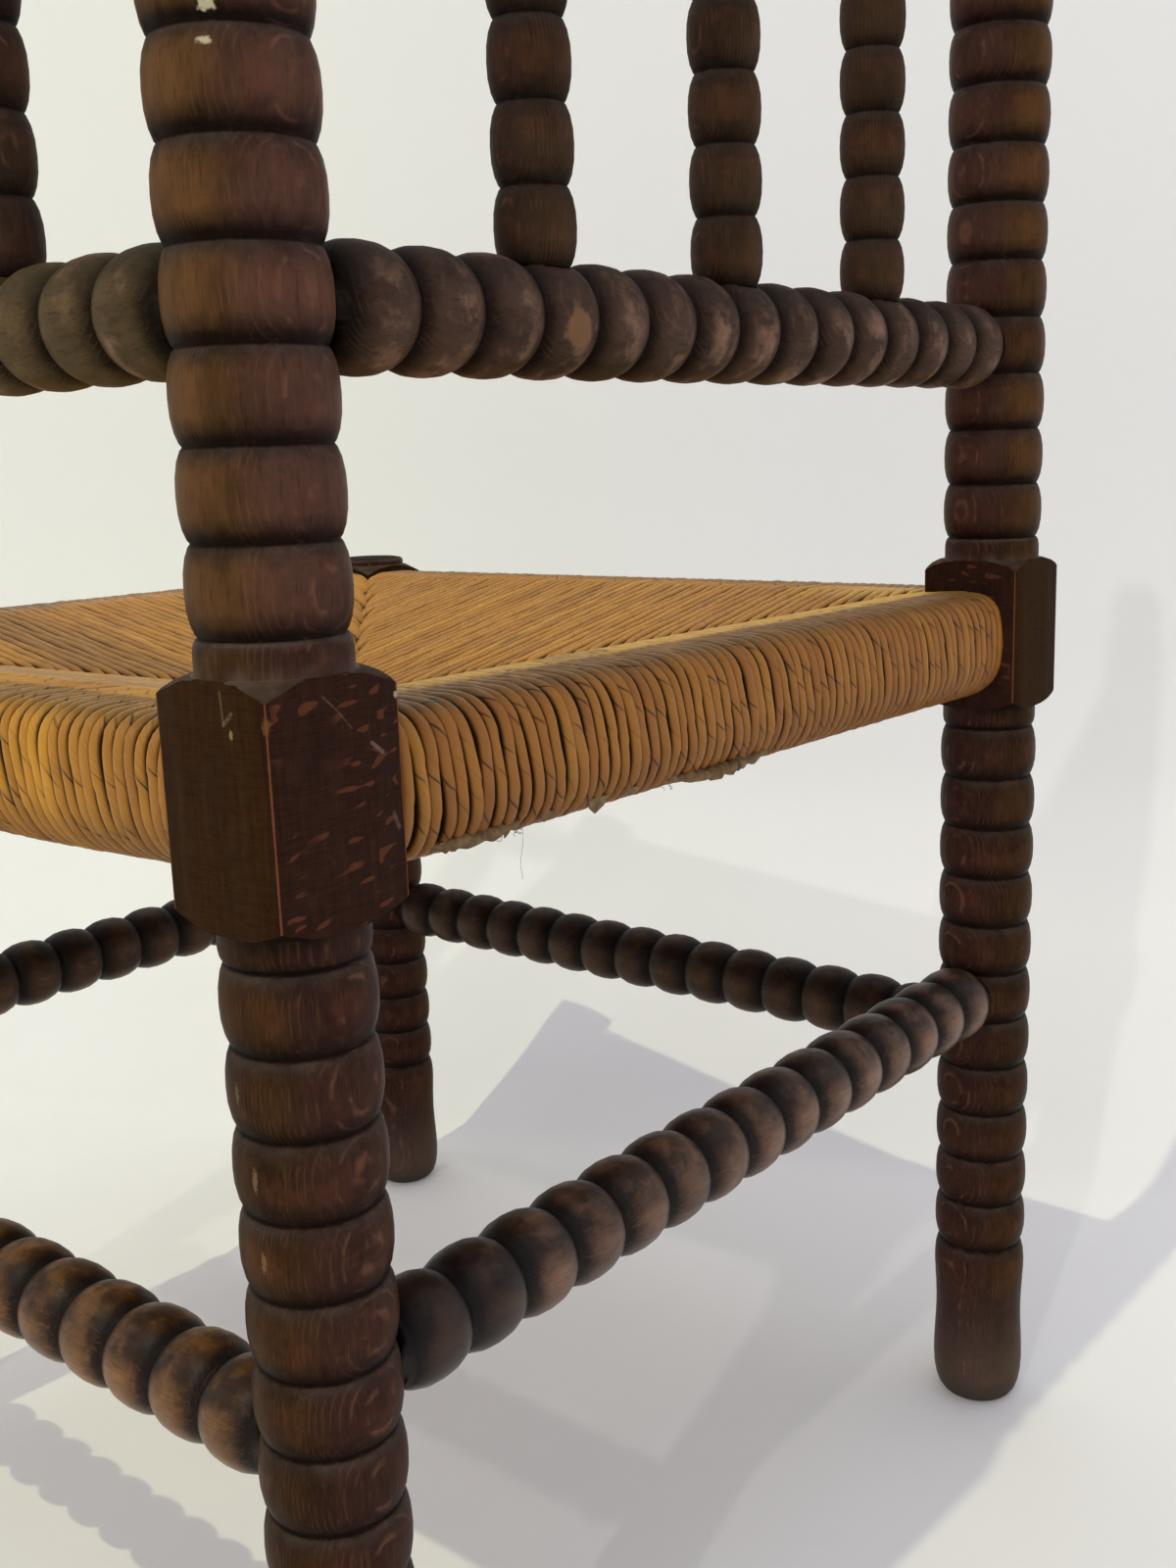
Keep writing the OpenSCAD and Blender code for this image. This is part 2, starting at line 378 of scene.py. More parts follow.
class BeechGrain(Effect):
    """Growth rings, fibres and ray flecks of beech, cut by whatever shape the wood has."""

    name = "beech_grain"
    inputs = (
        ("Stock", "NodeSocketVector", None),
        ("Facing", "NodeSocketVector", None),
        ("Pith Across", "NodeSocketFloat", 0.06),
        ("Pith Aside", "NodeSocketFloat", 0.02),
        ("Seed", "NodeSocketFloat", 0.0),
    )
    outputs = (
        ("Rings", "NodeSocketFloat"),
        ("Fibres", "NodeSocketFloat"),
        ("Flecks", "NodeSocketFloat"),
        ("Mottle", "NodeSocketFloat"),
        ("Bark", "NodeSocketFloat"),
    )
    ring_gap = 1.3 * MM
    fleck = (1.2 * MM, 8.0 * MM, 2.3 * MM)

    def build(self, make: Nodes, given: dict, results: dict) -> None:
        """Lays rings round a pith outside the stock, and stretches the rest along Z.

        Args:
            make: The helper for the group's tree.
            given: The group's inputs by name.
            results: The group's outputs by name, to be fed.
        """
        pith = make.combine(given["Pith Across"], given["Pith Aside"], given["Seed"])
        place = make.vector("ADD", given["Stock"], pith)
        level = make.vector("MULTIPLY", place, (1.0, 1.0, 0.12))
        bend = make.noise(level, 26.0, 2.0)
        spoke = make.vector("MULTIPLY", place, (1.0, 1.0, 0.0))
        radius = make.vector("LENGTH", spoke)
        towards_bark = make.math("ABSOLUTE", make.vector(
            "DOT_PRODUCT", make.vector("NORMALIZE", spoke), given["Facing"]))
        broad_on = make.ramp(towards_bark, 0.90, 0.97)
        bent = make.math("ADD", radius, make.math("MULTIPLY", bend, 5.0 * MM))
        part = make.math("FRACT", make.math("DIVIDE", bent, self.ring_gap))
        rings = make.math("MULTIPLY", make.ramp(part, 0.55, 0.85),
                          make.ramp(part, 0.85, 1.0, 1.0, 0.0))
        shown = make.ramp(make.noise(place, 110.0, 2.0), 0.48, 0.62)
        shown = make.math("MULTIPLY", shown, make.math(
            "ADD", make.math("MULTIPLY", broad_on, 0.6), 0.4))
        make.join(make.math("MULTIPLY", rings, shown), results["Rings"])
        make.join(make.ramp(towards_bark, 0.60, 0.95), results["Bark"])
        stretched = make.vector("MULTIPLY", place, (1.0, 1.0, 0.09))
        fine = make.noise(stretched, 1500.0, 3.0, 0.6)
        broad = make.noise(stretched, 420.0, 2.0)
        make.join(make.math("ADD", make.math("MULTIPLY", fine, 0.65),
                            make.math("MULTIPLY", broad, 0.35)), results["Fibres"])
        across, aside, up = make.split(place)
        up = make.math("ADD", up, make.math("MULTIPLY", aside, 0.2))
        round_it = make.math("MULTIPLY", make.math("ARCTAN2", aside, across), 0.06)
        thin, wide, tall = (1.0 / size for size in self.fleck)
        flecks = make.noise(make.combine(
            make.math("MULTIPLY", radius, thin), make.math("MULTIPLY", round_it, wide),
            make.math("MULTIPLY", up, tall)), 1.0, 0.0)
        patches = make.ramp(make.noise(place, 42.0, 1.0), 0.38, 0.52, 0.0, 1.0)
        patches = make.math("MULTIPLY", patches, make.ramp(towards_bark, 0.84, 0.95))
        make.join(make.math("MULTIPLY", make.ramp(flecks, 0.64, 0.72), patches),
                  results["Flecks"])
        make.join(make.noise(make.vector("MULTIPLY", place, (1.0, 1.0, 0.5)), 48.0, 4.0, 0.6),
                  results["Mottle"])


class HandlingWearAndShading(Effect):
    """Tool marks, rubbed crowns and arrises, and the dirt and dust that settle on turned wood, with
    painted light and shade: painted shade in the grooves and under the beads, painted highlight on
    the crowns, and painted shading on what faces up.
    """

    name = "handling_wear"
    inputs = (
        ("Stock", "NodeSocketVector", None),
        ("Hollow Radius", "NodeSocketFloat", 0.0194),
        ("Crown Radius", "NodeSocketFloat", 0.022),
        ("Corner Radius", "NodeSocketFloat", 0.0312),
    )
    outputs = (
        ("Hollow", "NodeSocketFloat"),
        ("Crown", "NodeSocketFloat"),
        ("Arris", "NodeSocketFloat"),
        ("Scuffs", "NodeSocketFloat"),
        ("Tooling", "NodeSocketFloat"),
        ("Dust", "NodeSocketFloat"),
        ("Rub", "NodeSocketFloat"),
        ("Turned", "NodeSocketFloat"),
        ("Under", "NodeSocketFloat"),
    )

    def build(self, make: Nodes, given: dict, results: dict) -> None:
        """Works from the distance to the centre line, and which way the surface faces.

        Args:
            make: The helper for the group's tree.
            given: The group's inputs by name.
            results: The group's outputs by name, to be fed.
        """
        flat = make.vector("MULTIPLY", given["Stock"], (1.0, 1.0, 0.0))
        radius = make.vector("LENGTH", flat)
        uneven = make.math("MULTIPLY", make.math("SUBTRACT", make.noise(
            given["Stock"], 240.0, 3.0), 0.5), 1.2 * MM)
        depth = make.math("DIVIDE",
                          make.math("SUBTRACT", make.math("ADD", radius, uneven),
                                    given["Hollow Radius"]),
                          make.math("SUBTRACT", given["Crown Radius"], given["Hollow Radius"]))
        # the grooves between the beads: marked for grime and for painted shade
        make.join(make.ramp(depth, 0.0, 0.42, 1.0, 0.0), results["Hollow"])
        turned = make.ramp(make.math("SUBTRACT", radius, given["Crown Radius"]),
                           0.15 * MM, 0.35 * MM, 1.0, 0.0)
        make.join(turned, results["Turned"])
        # crowns: rubbed stain, and painted highlight where they catch the light
        make.join(make.math("MULTIPLY", make.ramp(depth, 0.30, 1.0), turned), results["Rub"])
        patches = make.ramp(make.noise(given["Stock"], 55.0, 4.0, 0.65), 0.47, 0.66)
        make.join(make.math("MULTIPLY", make.math("MULTIPLY", make.ramp(depth, 0.7, 1.15),
                                                  patches), turned), results["Crown"])
        past = make.math("SUBTRACT", radius, given["Corner Radius"])
        chips = make.math("MULTIPLY", make.math("SUBTRACT", make.noise(
            given["Stock"], 110.0, 5.0, 0.75), 0.5), 0.5 * MM)
        make.join(make.ramp(make.math("ADD", past, chips), -0.12 * MM, 0.06 * MM),
                  results["Arris"])
        thin = make.vector("MULTIPLY", given["Stock"], (1.0, 1.0, 0.5))
        make.join(make.ramp(make.noise(thin, 330.0, 2.0, 0.75), 0.73, 0.79),
                  results["Scuffs"])
        rounds = make.vector("MULTIPLY", given["Stock"], (0.06, 0.06, 1.0))
        make.join(make.noise(rounds, 1900.0, 2.0, 0.6), results["Tooling"])
        facing = make.add("ShaderNodeNewGeometry").outputs["Normal"]
        upward = make.split(facing)[2]
        # what faces up: settled dust, and painted shading of the light from above, a pale sheen or
        # a dark shade by finish
        settled = make.ramp(make.noise(given["Stock"], 90.0, 4.0, 0.6), 0.34, 0.62, 0.45, 1.0)
        make.join(make.math("MULTIPLY", make.ramp(upward, 0.08, 0.62), settled),
                  results["Dust"])
        # painted shade: what faces down is marked to be darkened, as little light reaches it from
        # below
        make.join(make.ramp(upward, -0.60, -0.02, 1.0, 0.0), results["Under"])


@dataclass(frozen=True)
class WoodFinish:
    """Stained and waxed beech.

    Attributes:
        deep: Colour in the darkest wood.
        body: Colour of most of the surface.
        light: Colour where the stain is thin, also the colour of the painted highlight on the
            crowns.
        worn: Colour of rubbed crowns and arrises.
        cool: Colour of the broad face of the rings, where the stain took more.
        cool_light: The same where it is rubbed.
        planed: Colour of the flat faces, which the lathe didn't touch.
        ring: Colour of the late wood of each ring.
        dust: Colour of the dust and bloom on what faces up, which is also painted shading there: a
            pale painted sheen on the posts' beads, near-black painted shade on the tops of the
            stretchers' beads.
        dusty: How much of it there is, 0 to 1.
        rubbed: How much the crowns above the seat are lightened, 0 to 1: the stain rubbed down, and
            painted highlight.
        rubbed_below: The same below the seat, set lower partly as painted shade, since the seat
            shades the legs.
        under_shade: How dark the undersides of the beads are painted, 0 to 1; this is painted
            shade, as little light reaches them from below.
        wear: How much of the crowns is rubbed, 0 to 1.
        gloss: Roughness of the wax.
        sheen: How strongly the wax mirrors what is round it.
        ball_from: Height at which the ball on a post begins, which is rubbed all over.
    """

    deep: tuple = stain(24, 13, 6)
    body: tuple = stain(40, 22, 6)
    light: tuple = stain(112, 79, 46)
    worn: tuple = stain(128, 74, 48)
    cool: tuple = stain(49, 28, 26)
    cool_light: tuple = stain(88, 60, 58)
    planed: tuple = stain(66, 41, 13)
    ring: tuple = stain(128, 88, 66)
    dust: tuple = stain(114, 101, 90)
    dusty: float = 0.38
    rubbed: float = 0.80
    rubbed_below: float = 0.20
    under_shade: float = 0.88
    wear: float = 0.22
    gloss: float = 0.40
    sheen: float = 0.035
    ball_from: float = 757 * MM

    def material(self, name: str, stock: "Stock") -> bpy.types.Material:
        """Makes the material of one piece.

        Args:
            name: The material's name.
            stock: The piece of wood that it was turned from.

        Returns:
            The material.
        """
        material, make = bare_material(name)
        place = make.add("ShaderNodeTexCoord").outputs["Object"]
        lay = make.add("ShaderNodeMapping", vector_type="TEXTURE")
        lay.inputs["Location"].default_value = stock.centre
        lay.inputs["Rotation"].default_value = stock.turn().to_euler()
        make.join(place, lay.inputs["Vector"])
        along = lay.outputs[0]
        facing = make.add("ShaderNodeMapping", vector_type="TEXTURE")
        facing.inputs["Rotation"].default_value = stock.turn().to_euler()
        make.join(make.add("ShaderNodeNewGeometry").outputs["Normal"], facing.inputs["Vector"])
        grain = BeechGrain().place(make, Stock=along, Facing=facing.outputs[0],
                                   Pith_Across=stock.pith[0], Pith_Aside=stock.pith[1],
                                   Seed=stock.seed)
        wear = HandlingWearAndShading().place(make, Stock=along, Hollow_Radius=stock.hollow,
                                    Crown_Radius=stock.crown, Corner_Radius=stock.corner)
        height = make.split(place)[2]
        tone = self.bare_wood(make, grain, wear, height)
        ball = make.ramp(height, self.ball_from, self.ball_from + 3 * MM)
        hollow = make.math("MULTIPLY", wear["Hollow"], make.ramp(ball, 0.0, 1.0, 1.0, 0.0))
        tone = self.lay_wear(make, wear, tone, ball, hollow)
        tone = make.mix(make.ramp(height, 4 * MM, 80 * MM, 0.34, 0.0), tone, self.dust)
        for mark in stock.marks:
            tone = mark.paint(make, place, tone)
        shader = make.add("ShaderNodeBsdfPrincipled")
        make.join(tone, shader.inputs["Base Color"])
        dull = make.math("ADD", make.math("MULTIPLY", grain["Mottle"], 0.2),
                         make.math("MULTIPLY", make.math("ADD", hollow, wear["Dust"]), 0.16))
        dull = make.math("ADD", dull, make.ramp(wear["Turned"], 0.0, 1.0, 0.3, 0.0))
        make.join(make.math("ADD", dull, self.gloss - 0.1), shader.inputs["Roughness"])
        shader.inputs["Specular IOR Level"].default_value = self.sheen
        relief = make.math("ADD", make.math("MULTIPLY", grain["Fibres"], 0.5),
                           make.math("MULTIPLY", wear["Tooling"], 0.3))
        relief = make.math("SUBTRACT", relief, make.math("MULTIPLY", wear["Scuffs"], 0.5))
        finish_material(make, shader, relief, 0.3, 0.25 * MM)
        return material

    def bare_wood(self, make: Nodes, grain: dict, wear: dict,
                  height: bpy.types.NodeSocket) -> bpy.types.NodeSocket:
        """Mixes the colours of the stained wood itself.

        Args:
            make: The helper for the material's tree.
            grain: The results of BeechGrain.
            wear: The results of HandlingWearAndShading.
            height: Height above the floor.

        Returns:
            The colour of the wood.
        """
        tone = make.mix(make.ramp(grain["Mottle"], 0.34, 0.62, 0.30, 1.0), self.deep, self.body)
        # crowns lightened more above the seat than below it: rubbed stain and painted highlight,
        # and below the seat painted shade
        rub_and_light = make.ramp(height, 0.34, 0.50, self.rubbed_below, self.rubbed)
        rub_and_light = make.math("MULTIPLY", rub_and_light, make.ramp(grain["Mottle"], 0.30, 0.62, 0.45, 1.0))
        tone = make.mix(make.ramp(wear["Turned"], 0.0, 1.0, 0.45, 0.0), tone, self.planed)
        rub_and_light = make.math("MULTIPLY", wear["Rub"], rub_and_light)
        tone = make.mix(rub_and_light, tone, self.light)
        tone = make.mix(make.math("MULTIPLY", grain["Bark"], 0.68), tone,
                        make.mix(rub_and_light, self.cool, self.cool_light))
        figured = make.ramp(wear["Turned"], 0.0, 1.0, 0.45, 1.0)
        tone = make.mix(make.math("MULTIPLY", figured, make.ramp(
            grain["Fibres"], 0.50, 0.70, 0.0, 0.24)), tone, self.light)
        tone = make.mix(make.ramp(grain["Fibres"], 0.34, 0.48, 0.38, 0.0), tone, self.deep)
        tooled = make.math("MULTIPLY", make.ramp(wear["Tooling"], 0.36, 0.56, 0.34, 0.0),
                           make.ramp(wear["Turned"], 0.0, 1.0, 1.0, 0.15))
        tone = make.mix(tooled, tone, self.deep)
        rings = make.math("MULTIPLY", grain["Rings"], make.ramp(
            wear["Turned"], 0.0, 1.0, 0.04, 0.42))
        tone = make.mix(rings, tone, self.ring)
        return make.mix(make.math("MULTIPLY", grain["Flecks"], make.ramp(
            wear["Turned"], 0.0, 1.0, 0.38, 0.10)), tone, self.worn)

    def lay_wear(self, make: Nodes, wear: dict, tone: bpy.types.NodeSocket,
                 ball: bpy.types.NodeSocket,
                 hollow: bpy.types.NodeSocket) -> bpy.types.NodeSocket:
        """Lays over the wood what years of use have left on it, with painted shade in the grooves
        and under the beads.

        Args:
            make: The helper for the material's tree.
            wear: The results of HandlingWearAndShading.
            tone: The colour of the wood.
            ball: Where the ball on a post is.
            hollow: Where the grooves between the beads are.

        Returns:
            The colour of the used wood.
        """
        tone = make.mix(make.math("MULTIPLY", wear["Crown"], self.wear), tone, self.worn)
        tone = make.mix(make.math("MULTIPLY", wear["Arris"], 0.85), tone, self.worn)
        tone = make.mix(make.math("MULTIPLY", wear["Scuffs"], 0.2), tone, self.dust)
        # dust on what faces up, and painted shading there: a pale painted sheen on the posts,
        # painted shade on the stretchers
        tone = make.mix(make.math("MULTIPLY", wear["Dust"], self.dusty), tone, self.dust)
        # painted shade under the beads
        tone = make.mix(make.math("MULTIPLY", wear["Under"], self.under_shade), tone, GRIME_AND_SHADE)
        tone = make.mix(make.math("MULTIPLY", ball, 0.22), tone, self.light)
        # the grooves darkened: grime, and painted shade
        return make.mix(make.math("MULTIPLY", hollow, 0.75), tone, GRIME_AND_SHADE)


class Finish(Enum):
    """The finishes of the wooden pieces."""

    POST = WoodFinish()
    FAR_POST = WoodFinish(rubbed=0.50)
    BACK_RAIL = WoodFinish(deep=stain(20, 14, 10), body=stain(38, 27, 20), light=stain(98, 74, 56),
                           worn=stain(152, 116, 96), ring=stain(118, 86, 68), wear=0.80,
                           cool=stain(44, 32, 28), cool_light=stain(96, 74, 64),
                           dust=stain(44, 40, 36), dusty=0.62, rubbed=0.62, under_shade=0.10,
                           gloss=0.46)
    LEFT_RAIL = replace(BACK_RAIL, body=stain(43, 33, 20), light=stain(116, 96, 62),
                        cool=stain(50, 40, 27), cool_light=stain(110, 90, 60),
                        dust=stain(52, 47, 36))
    SPINDLE = WoodFinish(deep=stain(28, 19, 11), body=stain(52, 37, 24), light=stain(88, 66, 46),
                         cool=stain(50, 36, 30), cool_light=stain(84, 64, 52), dusty=0.22,
                         rubbed=0.40, under_shade=0.35, gloss=0.48)
    # on the stretchers the near-black colour on what faces up is painted shade on the tops of the
    # beads, and the pale crowns, lightened below the seat too, stand partly for painted reflection
    # of the pale floor
    STRETCHER = WoodFinish(deep=stain(20, 10, 6), body=stain(42, 23, 11), light=stain(190, 130, 70),
                           ring=stain(128, 88, 60), worn=stain(160, 120, 88), wear=0.70,
                           cool=stain(44, 28, 18), cool_light=stain(134, 98, 62),
                           dust=stain(22, 13, 10), dusty=0.86, rubbed_below=0.76, under_shade=0.12,
                           gloss=0.32, sheen=0.17)
    GREY_STRETCHER = replace(STRETCHER, deep=stain(17, 10, 8), body=stain(37, 24, 18),
                             light=stain(160, 119, 94), ring=stain(118, 88, 70),
                             worn=stain(158, 124, 104), cool=stain(37, 26, 23),
                             cool_light=stain(114, 86, 72), dust=stain(22, 16, 14), sheen=0.20)
    FRONT_STRETCHER = replace(STRETCHER, deep=stain(18, 10, 6), body=stain(34, 21, 13),
                              light=stain(108, 76, 49), ring=stain(92, 66, 46),
                              worn=stain(112, 84, 62), wear=0.50, cool=stain(32, 22, 16),
                              cool_light=stain(76, 56, 40), dust=stain(20, 13, 10), gloss=0.36,
                              sheen=0.12)
    HIDDEN = WoodFinish(deep=stain(90, 68, 48), body=stain(120, 94, 68), light=stain(150, 122, 92),
                        gloss=0.6)


BAR_FINISHES = {
    "lower_back_rail_right": Finish.BACK_RAIL,
    "upper_back_rail_right": Finish.BACK_RAIL,
    "lower_back_rail_left": Finish.LEFT_RAIL,
    "upper_back_rail_left": Finish.LEFT_RAIL,
    "stretcher_back_right": Finish.GREY_STRETCHER,
    "stretcher_back_left": Finish.STRETCHER,
    "stretcher_front_right": Finish.FRONT_STRETCHER,
    "stretcher_front_left": Finish.FRONT_STRETCHER,
}


@dataclass(frozen=True)
class Mark:
    """A spot where the stain has gone or has gathered, or where something has been spilt.

    Attributes:
        place: Its middle, in the chair's frame.
        reach: Its radius.
        colour: What shows there.
        strength: How fully it covers.
        flat: How many times wider than tall it is.
    """

    place: tuple[float, float, float]
    reach: float
    colour: tuple
    strength: float = 0.8
    flat: float = 1.0

    def paint(self, make: Nodes, where: bpy.types.NodeSocket,
              tone: bpy.types.NodeSocket) -> bpy.types.NodeSocket:
        """Mixes the mark over a colour.

        Args:
            make: The helper for the material's tree.
            where: The place on the surface, in the chair's frame.
            tone: The colour so far.

        Returns:
            The colour with the mark on it.
        """
        away = make.vector("LENGTH", make.vector("MULTIPLY", make.vector(
            "SUBTRACT", where, self.place), (1.0, 1.0, self.flat)))
        ragged = make.math("MULTIPLY", make.math("SUBTRACT", make.noise(
            where, 1.4 / self.reach, 3.0, 0.55), 0.5), 1.6 * self.reach)
        cover = make.ramp(make.math("ADD", away, ragged), 0.62 * self.reach, self.reach,
                          self.strength, 0.0)
        return make.mix(cover, tone, self.colour)


@dataclass(frozen=True)
class Scratch(Mark):
    """A thin line where the stain is scored through.

    Attributes:
        end: Where the line ends; it starts at its place.
    """

    end: tuple[float, float, float] = (0.0, 0.0, 0.0)

    def paint(self, make: Nodes, where: bpy.types.NodeSocket,
              tone: bpy.types.NodeSocket) -> bpy.types.NodeSocket:
        """Mixes the line over a colour, by the distance to it.

        Args:
            make: The helper for the material's tree.
            where: The place on the surface, in the chair's frame.
            tone: The colour so far.

        Returns:
            The colour with the line on it.
        """
        start, run = Vector(self.place), Vector(self.end) - Vector(self.place)
        from_start = make.vector("SUBTRACT", where, tuple(start))
        part = make.math("DIVIDE", make.vector("DOT_PRODUCT", from_start, tuple(run)),
                         run.length_squared, clamp=True)
        along = make.vector("MULTIPLY", make.combine(part, part, part), tuple(run))
        away = make.vector("DISTANCE", from_start, along)
        broken = make.ramp(make.noise(where, 700.0, 2.0), 0.36, 0.52, 0.25, self.strength)
        cover = make.math("MULTIPLY", make.ramp(away, 0.4 * self.reach, self.reach, 1.0, 0.0),
                          broken)
        return make.mix(cover, tone, self.colour)


@dataclass
class Stock:
    """The piece of wood that a part was turned from.

    Attributes:
        centre: A point on its centre line.
        direction: The direction of its grain.
        hollow: Radius in the grooves between beads.
        crown: Radius over a bead.
        corner: Radius at which the arris of a square block is worn.
        spin: How far the rings are turned about the grain, in degrees.
        pith_out: Distance from the centre line to the pith of the tree.
        seed: Slides the figure along the grain, so no two pieces match.
        marks: Spots on this piece.
    """

    centre: Vector
    direction: Vector
    hollow: float
    crown: float
    corner: float = 1.0
    spin: float = 0.0
    pith_out: float = 0.062
    seed: float = 0.0
    marks: tuple = ()

    @property
    def pith(self) -> tuple[float, float]:
        """The pith's place across the grain."""
        turn = math.radians(self.spin)
        return (self.pith_out * math.cos(turn), self.pith_out * math.sin(turn))

    def turn(self) -> Matrix:
        """The rotation that carries +Z to the grain's direction."""
        return UP.rotation_difference(self.direction).to_matrix()


def smooth_turning(piece: bpy.types.Object) -> None:
    """Shades a turned piece as one smooth surface, without a change to its mesh.

    Args:
        piece: The piece.
    """
    weld = piece.modifiers.new("weld", "WELD")
    weld.merge_threshold = 0.01 * MM
    soften = piece.modifiers.new("soften", "WEIGHTED_NORMAL")
    soften.mode = "FACE_AREA"
    soften.weight = 50
    soften.keep_sharp = False


def dress(node: str, finish: WoodFinish, stock: Stock) -> None:
    """Gives a wooden piece of the frame its finish and smooth shading.

    Args:
        node: The piece's name.
        finish: How the wood is finished.
        stock: The wood that it was turned from.
    """
    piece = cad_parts[node]
    material = finish.material(f"{node}_wood", stock)
    for slot in piece.material_slots:
        slot.material = material
    smooth_turning(piece)
    LOG.info("%s: dressed", node)


# the pale spots, scratches and flecks on the back post's beads and on its block
BACK_POST_MARKS = (
    Mark((0.0026, 0.3227, 0.5862), 3.0 * MM, stain(196, 188, 152), 0.95, 1.6),
    Mark((0.0034, 0.3211, 0.5784), 2.5 * MM, stain(192, 184, 148), 0.95, 2.0),
    Mark((0.0, 0.3322, 0.4175), 1.7 * MM, stain(126, 84, 54), 0.55, 0.7),
    Mark((-0.0313, 0.3012, 0.4200), 1.1 * MM, stain(190, 176, 156), 0.75),
    Scratch((-0.0272, 0.3055, 0.4052), 0.8 * MM, stain(132, 112, 100), 0.55,
            end=(-0.0246, 0.3081, 0.4082)),
    Scratch((-0.0302, 0.3023, 0.3836), 0.9 * MM, stain(118, 98, 88), 0.45,
            end=(-0.0290, 0.3035, 0.3880)),
    Mark((0.0100, 0.3225, 0.4143), 0.9 * MM, stain(150, 128, 78), 0.8, 0.6),
    Scratch((0.0124, 0.3201, 0.4252), 0.6 * MM, stain(108, 92, 64), 0.5,
            end=(0.0120, 0.3205, 0.4168)),
    Scratch((0.0120, 0.3205, 0.4168), 0.8 * MM, stain(112, 96, 70), 0.55,
            end=(0.0095, 0.3230, 0.4198)),
    Mark((0.0136, 0.3176, 0.2907), 1.2 * MM, stain(146, 120, 84), 0.45, 0.28),
    Mark((0.0130, 0.3181, 0.2668), 1.1 * MM, stain(146, 120, 84), 0.40, 0.28),
    Mark((0.0169, 0.3143, 0.3146), 1.0 * MM, stain(140, 112, 76), 0.38, 0.28),
    Scratch((-0.0130, 0.3195, 0.4229), 0.4 * MM, stain(112, 80, 60), 0.6,
            end=(-0.0163, 0.3163, 0.4188)),
    Scratch((-0.0163, 0.3163, 0.4188), 0.4 * MM, stain(106, 76, 56), 0.5,
            end=(-0.0198, 0.3128, 0.4132)),
)


@dataclass
class Turnings:
    """All the turned wood: posts, rails, stretchers and spindles.

    Attributes:
        post_hollow: Radius of a post between two beads.
        post_crown: Radius of a post over a bead.
        rail_hollow: The same for rails and stretchers.
        rail_crown: The same for rails and stretchers.
        spindle_hollow: The same for spindles.
        spindle_crown: The same for spindles.
        arris: How far in from its corner a square block is rubbed.
        posts: The names of the posts.
        figure_turns: For each post, the direction in which its rings show as ovals, in degrees.
        draw: Chance, the same on every run.
    """

    post_hollow: float = 19.4 * MM
    post_crown: float = 22.0 * MM
    rail_hollow: float = 13.2 * MM
    rail_crown: float = 17.8 * MM
    spindle_hollow: float = 10.0 * MM
    spindle_crown: float = 12.7 * MM
    arris: float = 0.22 * MM
    posts: tuple[str, ...] = ("back_post", "right_post", "left_post", "front_leg")
    figure_turns: tuple[float, ...] = (140.0, 30.0, 200.0, 75.0)
    draw: random.Random = field(default_factory=lambda: random.Random(7))

    def dress_posts(self) -> None:
        """Dresses the three tall posts and the front leg."""
        for number, node in enumerate(self.posts):
            low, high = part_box(node)
            corner = (high.x - low.x) / 2 - self.arris
            finish = Finish.POST if node == "back_post" else Finish.FAR_POST
            dress(node, finish.value, Stock(
                post_axis(node), UP, self.post_hollow, self.post_crown, corner,
                spin=self.figure_turns[number], pith_out=0.0551, seed=0.37 * number,
                marks=BACK_POST_MARKS if node == "back_post" else ()))

    def bar_marks(self, node: str, side: Side) -> tuple[Mark, ...]:
        """Finds the rubbed bead of one rail, and the dark end of one stretcher.

        Args:
            node: The rail or stretcher.
            side: The side of the chair that it is on.

        Returns:
            Its marks.
        """
        low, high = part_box(node)
        if node == "lower_back_rail_right":
            spot = side.middle() - side.along() * 0.1015 + side.outward() * self.rail_crown
            return (Mark((spot.x, spot.y, low.z + 0.8 * self.rail_crown), 7.5 * MM,
                         stain(140, 104, 74), 0.6),)
        if node == "stretcher_back_right":
            spot = side.middle() - side.along() * 0.190
            return (Mark((spot.x, spot.y, high.z + 2 * MM), 62 * MM, stain(17, 10, 11), 0.74),)
        return ()

    def dress_bars(self) -> None:
        """Dresses the back rails and the stretchers, whose grain runs along them."""
        bars = {
            Side.BACK_RIGHT: ("lower_back_rail_right", "upper_back_rail_right",
                              "stretcher_back_right"),
            Side.BACK_LEFT: ("lower_back_rail_left", "upper_back_rail_left",
                             "stretcher_back_left"),
            Side.FRONT_LEFT: ("stretcher_front_left",),
            Side.FRONT_RIGHT: ("stretcher_front_right",),
        }
        for side, names in bars.items():
            for node in names:
                low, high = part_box(node)
                dress(node, BAR_FINISHES[node].value, Stock(
                    (low + high) / 2, side.along(), self.rail_hollow, self.rail_crown,
                    spin=self.draw.uniform(0, 360), pith_out=0.045,
                    seed=self.draw.uniform(0, 9), marks=self.bar_marks(node, side)))

    def dress_spindles(self) -> None:
        """Dresses the six spindles."""
        for side in ("right", "left"):
            for number in (1, 2, 3):
                node = f"spindle_{side}_{number}"
                low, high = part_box(node)
                dress(node, Finish.SPINDLE.value, Stock(
                    (low + high) / 2, UP, self.spindle_hollow,
                    self.spindle_crown, spin=self.draw.uniform(0, 360), pith_out=0.05,
                    seed=self.draw.uniform(0, 9)))

    def dress_seat_rails(self) -> None:
        """Dresses the plain seat rails, which the rush hides."""
        for side, node in ((Side.BACK_RIGHT, "seat_rail_back_right"),
                           (Side.BACK_LEFT, "seat_rail_back_left"),
                           (Side.FRONT_LEFT, "seat_rail_front_left"),
                           (Side.FRONT_RIGHT, "seat_rail_front_right")):
            low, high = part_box(node)
            dress(node, Finish.HIDDEN.value, Stock(
                (low + high) / 2, side.along(), 0.0, 1.0, seed=self.draw.uniform(0, 9)))

    def build(self) -> None:
        """Dresses every wooden piece."""
        self.dress_posts()
        self.dress_bars()
        self.dress_spindles()
        self.dress_seat_rails()


